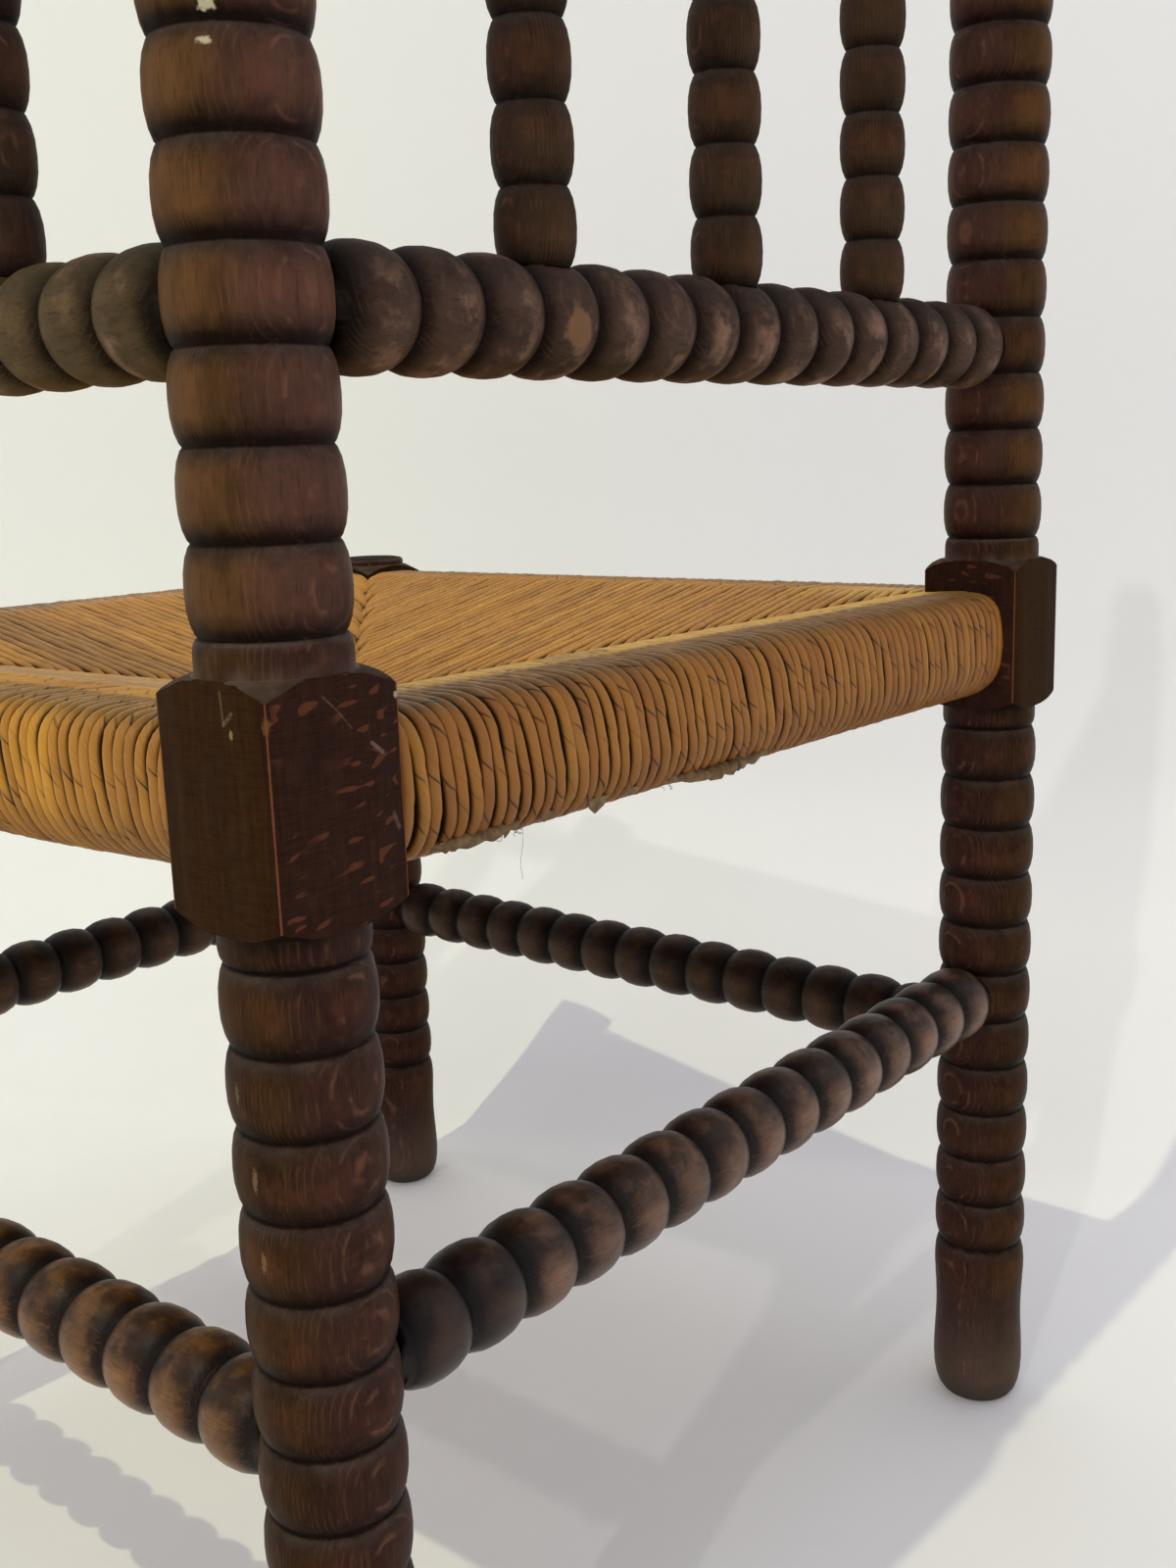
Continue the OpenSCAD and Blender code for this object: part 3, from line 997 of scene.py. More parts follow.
class TwistedReed(Effect):
    """The look along one twisted strand: fibres, and creases where a reed's edge wraps round, with
    painted shade in those creases and at the strand's sides.
    """

    name = "twisted_reed"
    inputs = (
        ("Strand", "NodeSocketVector", None),
        ("Tone", "NodeSocketFloat", 0.5),
    )
    outputs = (
        ("Fibres", "NodeSocketFloat"),
        ("Crease", "NodeSocketFloat"),
        ("Turn", "NodeSocketFloat"),
        ("Crevice", "NodeSocketFloat"),
        ("Blotch", "NodeSocketFloat"),
    )
    twist_pitch = 16.0 * MM

    def build(self, make: Nodes, given: dict, results: dict) -> None:
        """Works in the strand's own map: X is length in metres, Y goes once round it.

        Args:
            make: The helper for the group's tree.
            given: The group's inputs by name.
            results: The group's outputs by name, to be fed.
        """
        length, round_it, _ = make.split(given["Strand"])
        offset = make.math("MULTIPLY", given["Tone"], 37.0)
        slip = make.noise(make.combine(make.math("MULTIPLY", length, 90.0), offset, 0.0), 1.0, 1.0)
        wound = make.math("ADD", make.math("SUBTRACT", round_it, make.math(
            "DIVIDE", length, self.twist_pitch)), make.math("ADD", offset, make.math(
                "MULTIPLY", slip, 0.5)))
        lines = make.combine(make.math("MULTIPLY", wound, 34.0),
                             make.math("MULTIPLY", length, 30.0), offset)
        make.join(make.noise(lines, 1.0, 3.0, 0.6), results["Fibres"])
        part = make.math("FRACT", wound)
        make.join(part, results["Turn"])
        # painted shade in the creases where a reed's edge wraps round
        line = make.math("MULTIPLY", make.ramp(part, 0.90, 0.975), make.ramp(
            part, 0.975, 1.0, 1.0, 0.0))
        spots = make.combine(make.math("MULTIPLY", length, 62.0),
                             make.math("MULTIPLY", offset, 3.7), 0.0)
        shown = make.ramp(make.noise(spots, 1.0, 1.0), 0.44, 0.56, 0.12, 1.0)
        make.join(make.math("MULTIPLY", line, shown), results["Crease"])
        # painted shade at the strand's sides, where it meets its neighbours
        aside = make.math("ABSOLUTE", make.math("SUBTRACT", round_it, 0.5))
        make.join(make.ramp(aside, 0.12, 0.23), results["Crevice"])
        make.join(make.noise(spots, 0.5, 2.0), results["Blotch"])


def upper_half(make: Nodes, height: bpy.types.NodeSocket,
               middle: float) -> bpy.types.NodeSocket:
    """Adds a mask that keeps to the upper side of the seat.

    Args:
        make: The helper for the material's tree.
        height: The height of the surface.
        middle: The height at which the upper side begins.

    Returns:
        The mask.
    """
    return make.ramp(height, middle + 10 * MM, middle + 20 * MM)


@dataclass(frozen=True)
class RushFinish:
    """Dry twisted rush, golden where unsoiled and grey-brown where dusty, with painted light and
    shade: a golden band of painted sunlight on the back right hump, and painted shade on the back
    right face and the lower side.
    """

    pale: tuple = stain(206, 146, 40)
    body: tuple = stain(162, 100, 25)
    brown: tuple = stain(104, 60, 24)
    # golden unsoiled rush, also the colour of the painted sunlight on the back right hump
    clean_and_sunlit: tuple = stain(228, 184, 84)
    dusty: tuple = stain(106, 86, 50)
    # darker red-brown of the back right face: painted shade, as the key light barely reaches that
    # face
    rubbed: tuple = stain(120, 72, 44)
    # dark brown of the painted shade in the creases and between the strands
    crease: tuple = stain(32, 17, 8)
    frayed: tuple = stain(92, 68, 36)
    frayed_light: tuple = stain(130, 100, 58)
    rough: float = 0.42

    def plain(self, name: str) -> bpy.types.Material:
        """Makes the material of loose ends, which have no map along them.

        Args:
            name: The material's name.

        Returns:
            The material.
        """
        material, make, shader = plain_material(name)
        place = make.add("ShaderNodeTexCoord").outputs["Object"]
        tone = make.mix(make.ramp(make.noise(place, 260.0), 0.35, 0.65), self.frayed,
                        self.frayed_light)
        # dark specks in the colour of the painted shade of the creases
        tone = make.mix(make.ramp(make.noise(place, 900.0), 0.55, 0.70, 0.0, 0.6), tone,
                        self.crease)
        make.join(tone, shader.inputs["Base Color"])
        shader.inputs["Roughness"].default_value = 0.7
        return material

    def zones(self, make: Nodes, place: bpy.types.NodeSocket,
              seat: "RushSeat") -> dict[str, bpy.types.NodeSocket]:
        """Finds the parts of the seat that get painted light or shade, and those where dust lies.

        Args:
            make: The helper for the material's tree.
            place: The place on the surface, in the chair's frame.
            seat: The seat, for the place of its rim.

        Returns:
            How far in from the posts' centre lines the surface lies, and a mask for each part.
        """
        square = make.add("ShaderNodeMapping", vector_type="POINT")
        square.inputs["Rotation"].default_value = (0.0, 0.0, math.radians(-45.0))
        make.join(place, square.inputs["Vector"])
        across, towards_back, height = make.split(square.outputs[0])
        out_to = make.math("MAXIMUM", make.math("ABSOLUTE", across),
                           make.math("ABSOLUTE", towards_back))
        inward = make.math("SUBTRACT", seat.half, out_to)
        upper = upper_half(make, height, seat.rail_z)
        back_right = make.ramp(towards_back, 0.5 * seat.half, 0.8 * seat.half)
        # the rim's dust ends sharply 9 to 13 mm in; on the back right hump this edge also paints
        # the lower rail's shadow
        rim = make.math("MULTIPLY", make.ramp(inward, -15 * MM, -7 * MM),
                        make.ramp(inward, 9 * MM, 13 * MM, 1.0, 0.0))
        # painted sunlight: a golden band just inside the rim of the back right hump, where the key
        # light passes the rails
        painted_sunlit_strip = make.math("MULTIPLY", make.ramp(inward, 10 * MM, 14 * MM),
                          make.ramp(inward, 20 * MM, 44 * MM, 1.0, 0.0))
        settled = make.ramp(make.noise(place, 60.0, 4.0, 0.65), 0.30, 0.56, 0.35, 1.0)
        return {
            "inward": inward,
            "painted_sunlit_strip": make.math("MULTIPLY", make.math("MULTIPLY", painted_sunlit_strip, upper), back_right),
            # painted shade on the back right face
            "face": make.math("MULTIPLY", back_right, make.ramp(
                inward, -9 * MM, 4 * MM, 1.0, 0.0)),
            "inside": make.math("MULTIPLY", make.ramp(inward, 12 * MM, 26 * MM), upper_half(
                make, height, seat.rail_z - 40 * MM)),
            "shaded": make.ramp(height, seat.rail_z - 21 * MM, seat.rail_z + 2 * MM, 0.50, 0.0),
            "dust": make.math("MULTIPLY", make.math("MULTIPLY", rim, upper), settled),
        }

    def material(self, name: str, seat: "RushSeat") -> bpy.types.Material:
        """Makes the material of the strands.

        Args:
            name: The material's name.
            seat: The seat, for the place of its rim.

        Returns:
            The material.
        """
        material, make = bare_material(name)
        strand = make.add("ShaderNodeUVMap", uv_map="strand").outputs[0]
        tone = make.add("ShaderNodeAttribute", attribute_name="tone").outputs["Fac"]
        reed = TwistedReed().place(make, Strand=strand, Tone=tone)
        place = make.add("ShaderNodeTexCoord").outputs["Object"]
        zones = self.zones(make, place, seat)
        colour = make.mix(tone, self.body, self.pale)
        colour = make.mix(make.ramp(reed["Blotch"], 0.50, 0.74, 0.0, 0.4), colour, self.brown)
        colour = make.mix(make.ramp(reed["Fibres"], 0.50, 0.70, 0.0, 0.35), colour, self.brown)
        colour = make.mix(make.math("MULTIPLY", zones["inside"], 0.07), colour, self.clean_and_sunlit)
        # painted shade on the back right face
        colour = make.mix(make.math("MULTIPLY", zones["face"], 0.44), colour, self.rubbed)
        colour = make.mix(zones["shaded"], colour, self.brown)
        # dust on the rim, and on the back right hump the painted shadow of the lower rail
        colour = make.mix(make.math("MULTIPLY", zones["dust"], 0.62), colour, self.dusty)
        # painted sunlight on the back right hump
        colour = make.mix(make.math("MULTIPLY", zones["painted_sunlit_strip"], 0.60), colour, self.clean_and_sunlit)
        # painted shade between the strands
        colour = make.mix(make.math("MULTIPLY", reed["Crevice"], 0.93), colour, self.crease)
        worn_flat = make.ramp(zones["inward"], 12 * MM, 30 * MM, 0.92, 0.3)
        # painted shade in the creases, less in the dish
        colour = make.mix(make.math("MULTIPLY", reed["Crease"], worn_flat), colour, self.crease)
        shader = make.add("ShaderNodeBsdfPrincipled")
        make.join(colour, shader.inputs["Base Color"])
        make.join(make.ramp(reed["Fibres"], 0.3, 0.7, self.rough - 0.1, self.rough + 0.12),
                  shader.inputs["Roughness"])
        shader.inputs["Specular IOR Level"].default_value = 0.26
        relief = make.math("ADD", make.math("MULTIPLY", reed["Fibres"], 0.3), reed["Turn"])
        finish_material(make, shader, relief, 0.6, 0.45 * MM)
        return material


def new_piece(name: str, vertices: np.ndarray, faces: list, material: bpy.types.Material,
              smooth: bool = True) -> bpy.types.Object:
    """Makes a mesh object and links it to the scene.

    Args:
        name: The object's name.
        vertices: Its points, one row each.
        faces: Its faces, as tuples of point numbers.
        material: Its only material.
        smooth: Whether it is shaded smooth.

    Returns:
        The object.
    """
    mesh = bpy.data.meshes.new(name)
    mesh.from_pydata([tuple(v) for v in vertices], [], faces)
    mesh.materials.append(material)
    if smooth:
        mesh.shade_smooth()
    piece = bpy.data.objects.new(name, mesh)
    bpy.context.scene.collection.objects.link(piece)
    return piece


def tube_faces(start: int, rings: int, around: int) -> list[tuple[int, ...]]:
    """Lists the faces of a closed tube: those between its rings, then its two ends.

    Args:
        start: The number of its first point.
        rings: How many rings it has.
        around: Points in each ring.

    Returns:
        The faces, as tuples of point numbers.
    """
    faces = []
    for row in range(rings - 1):
        a = start + row * around
        for k in range(around):
            after = (k + 1) % around
            faces.append((a + k, a + after, a + around + after, a + around + k))
    last = start + (rings - 1) * around
    faces.append(tuple(start + k for k in reversed(range(around))))
    faces.append(tuple(last + k for k in range(around)))
    return faces


@dataclass
class RushSeat:
    """The seat: strands of twisted rush wound over four rails and mitred along the diagonals.

    Attributes:
        strand_gap: Distance between neighbouring strands.
        strand_across: Half width of a strand along the rail.
        strand_deep: Half thickness of a strand.
        out: How far the rush stands out past the post centre lines.
        nose_in: Depth of the middle of the rounded nose inside those lines.
        dip: How far the middle lies below the rim.
        square_above: How square the upper corner of the nose is; 2 would be round.
        square_below: The same for the lower corner.
        step: Distance between the rings of a strand.
        fine_step: The same on the face and the rim, which show close up.
        fine_to: How far in from the posts' centre lines the fine steps go.
        tuck: How far a strand runs on under the next side's, past the mitre.
        lean: How far a strand leans along the rail for each unit that it climbs.
        lift: How far the strands at the back post's left are drawn up from below.
        ring: Points round a strand.
        twist_pitch: Length along the strand in which a reed goes round it once.
        swell: How much a strand swells and thins along its length, as a share of its size.
        uneven: Spread of the strands' sizes, as a share.
        ridge: Height of the step at the edge of a reed, as a share of the strand.
        squared: Power that squares a strand's section a little; 1 would be an ellipse.
        sunk: How deep a strand's ends go under those of the next side.
        half: Half the distance between the posts' centre lines.
        top: Height of the rim.
        bottom: Height of the underside.
        rail_z: Height of the seat rails' centre line.
        block: Half the distance across the post's block, along a side of the seat.
        draw: Chance, the same on every run.
    """

    strand_gap: float = 5.15 * MM
    strand_across: float = 2.45 * MM
    strand_deep: float = 2.3 * MM
    out: float = 17.5 * MM
    nose_in: float = 6.0 * MM
    dip: float = 36.5 * MM
    square_above: float = 4.2
    square_below: float = 2.4
    step: float = 5.5 * MM
    fine_step: float = 2.3 * MM
    fine_to: float = 34 * MM
    tuck: float = 4.5 * MM
    lean: float = 0.20
    lift: float = 3.0 * MM
    ring: int = 16
    twist_pitch: float = TwistedReed.twist_pitch
    swell: float = 0.05
    uneven: float = 0.055
    ridge: float = 0.17
    squared: float = 0.85
    sunk: float = 4.6 * MM
    half: float = field(init=False)
    top: float = field(init=False)
    bottom: float = field(init=False)
    rail_z: float = field(init=False)
    block: float = field(init=False)
    draw: random.Random = field(default_factory=lambda: random.Random(23))

    def __post_init__(self) -> None:
        """Takes the sizes that the frame already fixes."""
        self.half = Side.BACK_RIGHT.middle().length
        low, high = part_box("rush_seat")
        self.top, self.bottom = high.z, low.z + 2 * MM
        self.rail_z = (self.top + self.bottom) / 2
        low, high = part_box("back_post")
        self.block = (high.x - low.x) / 2 / math.sqrt(2)

    def section(self, inset: float) -> np.ndarray:
        """The line of a strand's middle in the section of one side.

        Args:
            inset: Depth below the outer surface of the seat.

        Returns:
            Rows of inward distance and height, from the middle of the underside round the
            rail to the middle of the top.
        """
        under = self.bottom + inset
        rows = [(d, under) for d in np.linspace(self.half + self.tuck, self.nose_in + 6 * MM, 30)]
        reach, rise = self.out + self.nose_in - inset, (self.top - self.bottom) / 2 - inset
        for angle in np.radians(np.linspace(270, 90, 61)):
            power = 2 / (self.square_above if angle < math.pi else self.square_below)
            rows.append((self.nose_in - reach * abs(math.cos(angle)) ** power,
                         self.rail_z + math.copysign(rise, math.sin(angle))
                         * abs(math.sin(angle)) ** power))
        shoulder = self.nose_in + 18 * MM
        slope = (self.dip - 0.5 * MM) / (self.half - shoulder)
        rows += [(d, self.top - inset - 0.5 * MM - slope * (d - shoulder))
                 for d in np.linspace(shoulder, self.half + self.tuck, 30)]
        return np.array(rows)

    def spread(self, rows: np.ndarray) -> np.ndarray:
        """Places points along a line, closer together where the seat's face shows.

        Args:
            rows: The line, as rows of inward distance and height.

        Returns:
            The new points, as rows of the same.
        """
        runs = np.r_[0.0, np.cumsum(np.hypot(*np.diff(rows, axis=0).T))]
        at = [0.0]
        while at[-1] < runs[-1]:
            inward = np.interp(at[-1], runs, rows[:, 0])
            height = np.interp(at[-1], runs, rows[:, 1])
            shows = inward < self.fine_to and (height > self.bottom + 5 * MM
                                               or inward < self.nose_in)
            at.append(at[-1] + (self.fine_step if shows else self.step))
        at = np.array(at) * runs[-1] / at[-1]
        return np.c_[np.interp(at, runs, rows[:, 0]), np.interp(at, runs, rows[:, 1])]

    def settle(self, side: Side, place: float, runs: np.ndarray,
               height: np.ndarray) -> np.ndarray:
        """Sinks both ends of a strand under those of the next side, and lifts some from below.

        Args:
            side: The side that the strand is wound over.
            place: Its distance from the middle of the side.
            runs: The length along it at each ring.
            height: The height of its middle at each ring.

        Returns:
            The new heights.
        """
        for end, rise in ((runs, 1.0), (runs[-1] - runs, -1.0)):
            sink = np.clip(1.0 - end / (2.6 * self.tuck), 0.0, 1.0) ** 2 * self.sunk
            height = height + rise * sink
        if side is Side.BACK_LEFT:
            near_back = np.clip(1.0 - (self.half - self.block - place) / (90 * MM), 0.0, 1.0)
            height = height + near_back * self.lift * np.clip(
                (self.rail_z - height) / (18 * MM), 0.0, 1.0)
        return height

    def wander(self, place: float, runs: np.ndarray, inward: np.ndarray,
               height: np.ndarray) -> np.ndarray:
        """Lets a strand waver and lean along its rail, but not into the blocks of the posts.

        Args:
            place: The strand's distance from the middle of its side.
            runs: The length along it at each ring.
            inward: How far in from the posts' centre lines it is at each ring.
            height: The height of its middle at each ring.

        Returns:
            Its distance from the middle of the side at each ring.
        """
        draw = self.draw
        waves = [(draw.uniform(35, 110) * MM, draw.uniform(0, WAVE),
                  draw.uniform(0.1, 0.45) * MM) for _ in range(3)]
        waver = sum(size * np.sin(WAVE * runs / span + turn) for span, turn, size in waves)
        limit = self.half - self.block - 0.6 * self.strand_across
        lean = draw.gauss(self.lean, 0.012) * (height - self.rail_z)
        lean = lean * np.clip((self.nose_in + 20 * MM - inward) / (20 * MM), 0, 1)
        lean = lean * (1.0 - min(1.0, abs(place) / limit) ** 6)
        shift = place + waver - lean
        near_post = inward < self.block + 4 * MM
        return np.where(near_post, np.clip(shift, -limit, limit), shift)

    def strand(self, place: float, side: Side) -> tuple[np.ndarray, np.ndarray]:
        """Builds the rings of one strand.

        Args:
            place: The strand's distance from the middle of its side, along the rail.
            side: The side that it is wound over.

        Returns:
            The ring points, and the length along the strand at each ring.
        """
        draw = self.draw
        reach = self.half - abs(place)
        rows = self.section(self.strand_deep)
        line = self.spread(rows[rows[:, 0] <= reach + self.tuck])
        inward, height = line[:, 0], line[:, 1]
        runs = np.r_[0.0, np.cumsum(np.hypot(np.diff(inward), np.diff(height)))]
        height = self.settle(side, place, runs, height)
        shift = self.wander(place, runs, inward, height)
        swell = 1.0 + self.swell * np.sin(WAVE * runs / (draw.uniform(40, 90) * MM)
                                          + draw.uniform(0, WAVE))
        size = draw.gauss(1.0, self.uneven)
        outward, along = np.array(side.outward()), np.array(side.along())
        middle = (np.outer(self.half - inward, outward) + np.outer(shift, along)
                  + np.outer(height, (0, 0, 1)))
        run_in, run_up = np.gradient(inward), np.gradient(height)
        size_of = np.hypot(run_in, run_up)
        # the normal points out of the seat: up on top, outwards at the nose
        normal = (np.outer(run_up / size_of, outward)
                  + np.outer(run_in / size_of, (0, 0, 1)))
        angles = np.linspace(0, 2 * math.pi, self.ring, endpoint=False) - math.pi / 2
        turn = 2 * math.pi * runs / self.twist_pitch
        wound = (angles[None, :] + math.pi / 2 - turn[:, None]) / (2 * math.pi)
        offset = draw.uniform(0, 1)
        strength = self.ridge * np.clip(np.sin(WAVE * runs / (draw.uniform(30, 60) * MM)
                                               + draw.uniform(0, WAVE)) + 0.9, 0.15, 1)
        step = 1.0 + strength[:, None] * (np.mod(wound + offset, 1.0) - 0.5)
        across = self.strand_across * size * swell[:, None] * step
        deep = self.strand_deep * (0.55 + 0.45 * size) * step
        cos, sin = np.cos(angles), np.sin(angles)
        cos = np.sign(cos) * np.abs(cos) ** self.squared
        sin = np.sign(sin) * np.abs(sin) ** self.squared
        points = (middle[:, None, :]
                  + (cos[None, :] * across)[:, :, None] * along
                  + (sin[None, :] * deep)[:, :, None] * normal[:, None, :])
        return points, runs

    def places(self, side: Side) -> list[float]:
        """Finds where the strands of one side cross its rail.

        Args:
            side: The side.

        Returns:
            Their distances from the middle of the side.
        """
        limit = self.half - self.block - self.strand_across
        shifted = side in (Side.BACK_LEFT, Side.FRONT_RIGHT)
        count = int(2 * limit / self.strand_gap)
        count -= (count % 2 == 0) != shifted
        gap = 2 * limit / (count - 1)
        return [-limit + gap * number + self.draw.gauss(0, 0.16 * MM) for number in range(count)]

    def strand_map(self, lengths: np.ndarray) -> list[tuple[float, float]]:
        """Places the faces of one strand in its own map, in the order of tube_faces.

        Args:
            lengths: The length along the strand at each ring.

        Returns:
            For each corner of each face the length along the strand, and how far round it the
            corner lies, from 0 to 1.
        """
        ring = self.ring
        corners = []
        for here, there in zip(lengths, lengths[1:]):
            for k in range(ring):
                corners += [(here, k / ring), (here, (k + 1) / ring),
                            (there, (k + 1) / ring), (there, k / ring)]
        corners += [(lengths[0], k / ring) for k in reversed(range(ring))]
        corners += [(lengths[-1], k / ring) for k in range(ring)]
        return corners

    def wind(self, side: Side, material: bpy.types.Material) -> bpy.types.Object:
        """Winds one side of the seat.

        Args:
            side: The side to wind.
            material: The rush.

        Returns:
            One object with all the strands of that side.
        """
        points, faces, corners, tones = [], [], [], []
        start = 0
        for place in self.places(side):
            rings, lengths = self.strand(place, side)
            # painted light: the back left strands, which face the key light, are drawn paler on
            # average
            lit_side_tone = 0.75 if side is Side.BACK_LEFT else 0.45
            tone = min(1.0, max(0.0, self.draw.gauss(lit_side_tone, 0.15)))
            points.append(rings.reshape(-1, 3))
            faces += tube_faces(start, len(rings), self.ring)
            corners += self.strand_map(lengths)
            tones += [tone] * (len(rings) * self.ring)
            start += len(rings) * self.ring
        piece = new_piece(f"rush_{side.name.lower()}", np.concatenate(points), faces, material)
        mesh = piece.data
        layer = mesh.uv_layers.new(name="strand")
        layer.data.foreach_set("uv", np.array(corners).ravel())
        shade = mesh.attributes.new("tone", "FLOAT", "POINT")
        shade.data.foreach_set("value", np.array(tones))
        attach(piece, "root")
        LOG.info("%s: %d strands", piece.name, len(self.places(side)))
        return piece

    def stuffing(self) -> bpy.types.Object:
        """Makes the packing that shows between the strands, dark brown so that it also stands as
        painted shade in the gaps.

        Returns:
            The object that stands for the seat's solid.
        """
        rows = self.section(self.strand_deep * 1.5)[::2]
        rows = rows[rows[:, 0] <= self.half]
        limit = self.half - self.block - 1.5 * MM
        points, faces = [], []
        columns = np.linspace(-1.0, 1.0, 41)
        for side in Side:
            outward, along = np.array(side.outward()), np.array(side.along())
            start = len(points)
            for inward, height in rows:
                width = min(self.half - inward, limit if inward < self.block + 2 * MM else 1.0)
                for column in columns:
                    points.append(outward * (self.half - inward) + along * column * width
                                  + np.array((0, 0, height)))
            wide = len(columns)
            for row in range(len(rows) - 1):
                for column in range(wide - 1):
                    a = start + row * wide + column
                    faces.append((a, a + 1, a + wide + 1, a + wide))
        material, make, shader = plain_material("rush_packing")
        place = make.add("ShaderNodeTexCoord").outputs["Object"]
        # dark brown: painted shade in the gaps between the strands
        make.join(make.mix(make.noise(place, 300.0), stain(40, 24, 12), stain(78, 50, 26)),
                  shader.inputs["Base Color"])
        shader.inputs["Roughness"].default_value = 0.9
        piece = new_piece("rush_packing", np.array(points), faces, material)
        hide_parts("rush_seat")
        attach(piece, "root")
        LOG.info("%s: packed", piece.name)
        return piece

    def build(self) -> None:
        """Packs and winds the whole seat."""
        self.stuffing()
        material = RushFinish().material("twisted_rush", self)
        for side in Side:
            self.wind(side, material)
        LooseEnds(self, RushFinish().plain("loose_rush")).build()


@dataclass
class LooseEnds:
    """The ragged ends of rush, and the dust threads, that hang below one side of the seat.

    Attributes:
        seat: The seat that they hang from.
        rush: The material of the strands.
        strands: For each sagging strand its side, its start and end along that side, and how
            far it sags.
        flakes: For each torn flake its side, its place along it, its width and its drop.
        webs: Where along the back right side each wisp of web hangs.
        draw: Chance, the same on every run.
    """

    seat: RushSeat
    rush: bpy.types.Material
    strands: tuple = (
        (Side.BACK_RIGHT, -56 * MM, 6 * MM, 2.6 * MM),
        (Side.BACK_RIGHT, -170 * MM, -132 * MM, 1.4 * MM),
    )
    flakes: tuple = (
        (Side.BACK_RIGHT, -94 * MM, 10 * MM, 3.6 * MM),
        (Side.BACK_RIGHT, -137 * MM, 4 * MM, 2.8 * MM),
        (Side.BACK_RIGHT, -118 * MM, 9 * MM, 1.4 * MM),
        (Side.BACK_RIGHT, -14 * MM, 10 * MM, 3.0 * MM),
        (Side.BACK_RIGHT, -76 * MM, 8 * MM, 1.2 * MM),
        (Side.BACK_RIGHT, -163 * MM, 8 * MM, 2.2 * MM),
    )
    webs: tuple = (-134 * MM, -133 * MM, -131 * MM, -130 * MM, -58 * MM, -57 * MM)
    draw: random.Random = field(default_factory=lambda: random.Random(31))

    @property
    def edge(self) -> float:
        """Height of the seat's lower edge, where it curves back under."""
        return self.seat.bottom + 6.2 * MM

    def spot(self, side: Side, along: float, outward: float, height: float) -> Vector:
        """Finds a point near one side of the seat.

        Args:
            side: The side.
            along: Its distance from the middle of the side.
            outward: Its distance beyond the posts' centre lines.
            height: Its height above the floor.

        Returns:
            The point.
        """
        return (side.middle() + side.along() * along + side.outward() * outward
                + Vector((0, 0, height)))

    def tube(self, name: str, path: list[Vector], thick: list[float],
             material: bpy.types.Material) -> None:
        """Makes a closed tube along a path and hangs it on the chair.

        Args:
            name: The piece's name.
            path: The points that it follows.
            thick: Its radius at each point.
            material: Its material.
        """
        around = 9
        points = []
        for number, (point, radius) in enumerate(zip(path, thick)):
            ahead = path[min(number + 1, len(path) - 1)] - path[max(number - 1, 0)]
            turn = ahead.to_track_quat("Z", "Y")
            for k in range(around):
                angle = 2 * math.pi * k / around
                ring = Vector((math.cos(angle), math.sin(angle), 0.0)) * radius
                points.append(point + turn @ ring)
        faces = tube_faces(0, len(path), around)
        self.hang(new_piece(name, np.array(points), faces, material))

    def hang(self, piece: bpy.types.Object) -> None:
        """Gives a loose end to the chair.

        Args:
            piece: The loose end.
        """
        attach(piece, "root")
        LOG.info("%s: hung", piece.name)

    def sag(self, number: int, side: Side, start: float, end: float, drop: float) -> None:
        """Hangs a rumpled strand along the lower edge of one side.

        Args:
            number: Its number, for its name.
            side: The side that it hangs from.
            start: Where it starts, from the middle of the side.
            end: Where it ends.
            drop: How far it sags.
        """
        draw = self.draw
        path, thick = [], []
        count = max(12, int((end - start) / (1.6 * MM)))
        for step in range(count):
            part = step / (count - 1)
            bow = math.sin(math.pi * part) ** 0.7
            path.append(self.spot(
                side, start + (end - start) * part, 10.5 * MM + draw.gauss(0, 0.5 * MM),
                self.edge - drop * bow + draw.gauss(0, 0.3 * MM)))
            thick.append((1.0 + 1.5 * bow) * MM * draw.uniform(0.75, 1.2))
        self.tube(f"loose_strand_{number}", path, thick, self.rush)

    def tear(self, number: int, side: Side, place: float, width: float, drop: float) -> None:
        """Hangs a torn flake of reed below the edge, as a thin wedge with a ragged tip.

        Args:
            number: Its number, for its name.
            side: The side that it hangs from.
            place: Its distance from the middle of the side.
            width: How wide it is.
            drop: How far it hangs down.
        """
        draw = self.draw
        top = self.edge + 0.6 * MM
        outline = [(-0.5, 0.0), (-0.34, -0.55 - draw.uniform(0, 0.2)), (-0.12, -0.85),
                   (-0.02 + draw.uniform(-0.15, 0.15), -1.0), (0.20, -0.80),
                   (0.38, -0.45 - draw.uniform(0, 0.2)), (0.5, 0.0)]
        points = []
        for thickness in (-0.25 * MM, 0.25 * MM):
            for across, down in outline:
                points.append(self.spot(side, place + across * width,
                                        11.5 * MM + thickness + 2.0 * MM * down,
                                        top + down * (drop + 2.2 * MM)))
        count = len(outline)
        faces = [tuple(reversed(range(count))), tuple(count + k for k in range(count))]
        for k in range(count):
            after = (k + 1) % count
            faces.append((k, after, count + after, count + k))
        self.hang(new_piece(f"torn_reed_{number}", np.array(points), faces, self.rush,
                            smooth=False))

    def threads(self) -> None:
        """Hangs a wisp of dusty web and one long hair near the back post."""
        draw = self.draw
        material, _, shader = plain_material("dust_thread")
        shader.inputs["Base Color"].default_value = stain(120, 116, 108)
        shader.inputs["Roughness"].default_value = 0.9
        for number, place in enumerate(self.webs):
            start = self.spot(Side.BACK_RIGHT, place, 9 * MM, self.edge - 1.5 * MM)
            path = [start]
            for _ in range(14):
                path.append(path[-1] + Vector((draw.gauss(0, 0.6), draw.gauss(0, 0.6),
                                               draw.gauss(-0.2, 0.45))) * MM)
            self.tube(f"web_{number}", path, [0.09 * MM] * len(path), material)
        path = [self.spot(Side.BACK_RIGHT, (-128 + 0.8 * math.sin(0.35 * k)) * MM, 8 * MM,
                          self.edge - (1.5 + k) * MM) for k in range(19)]
        self.tube("hair", path, [0.07 * MM] * len(path), material)

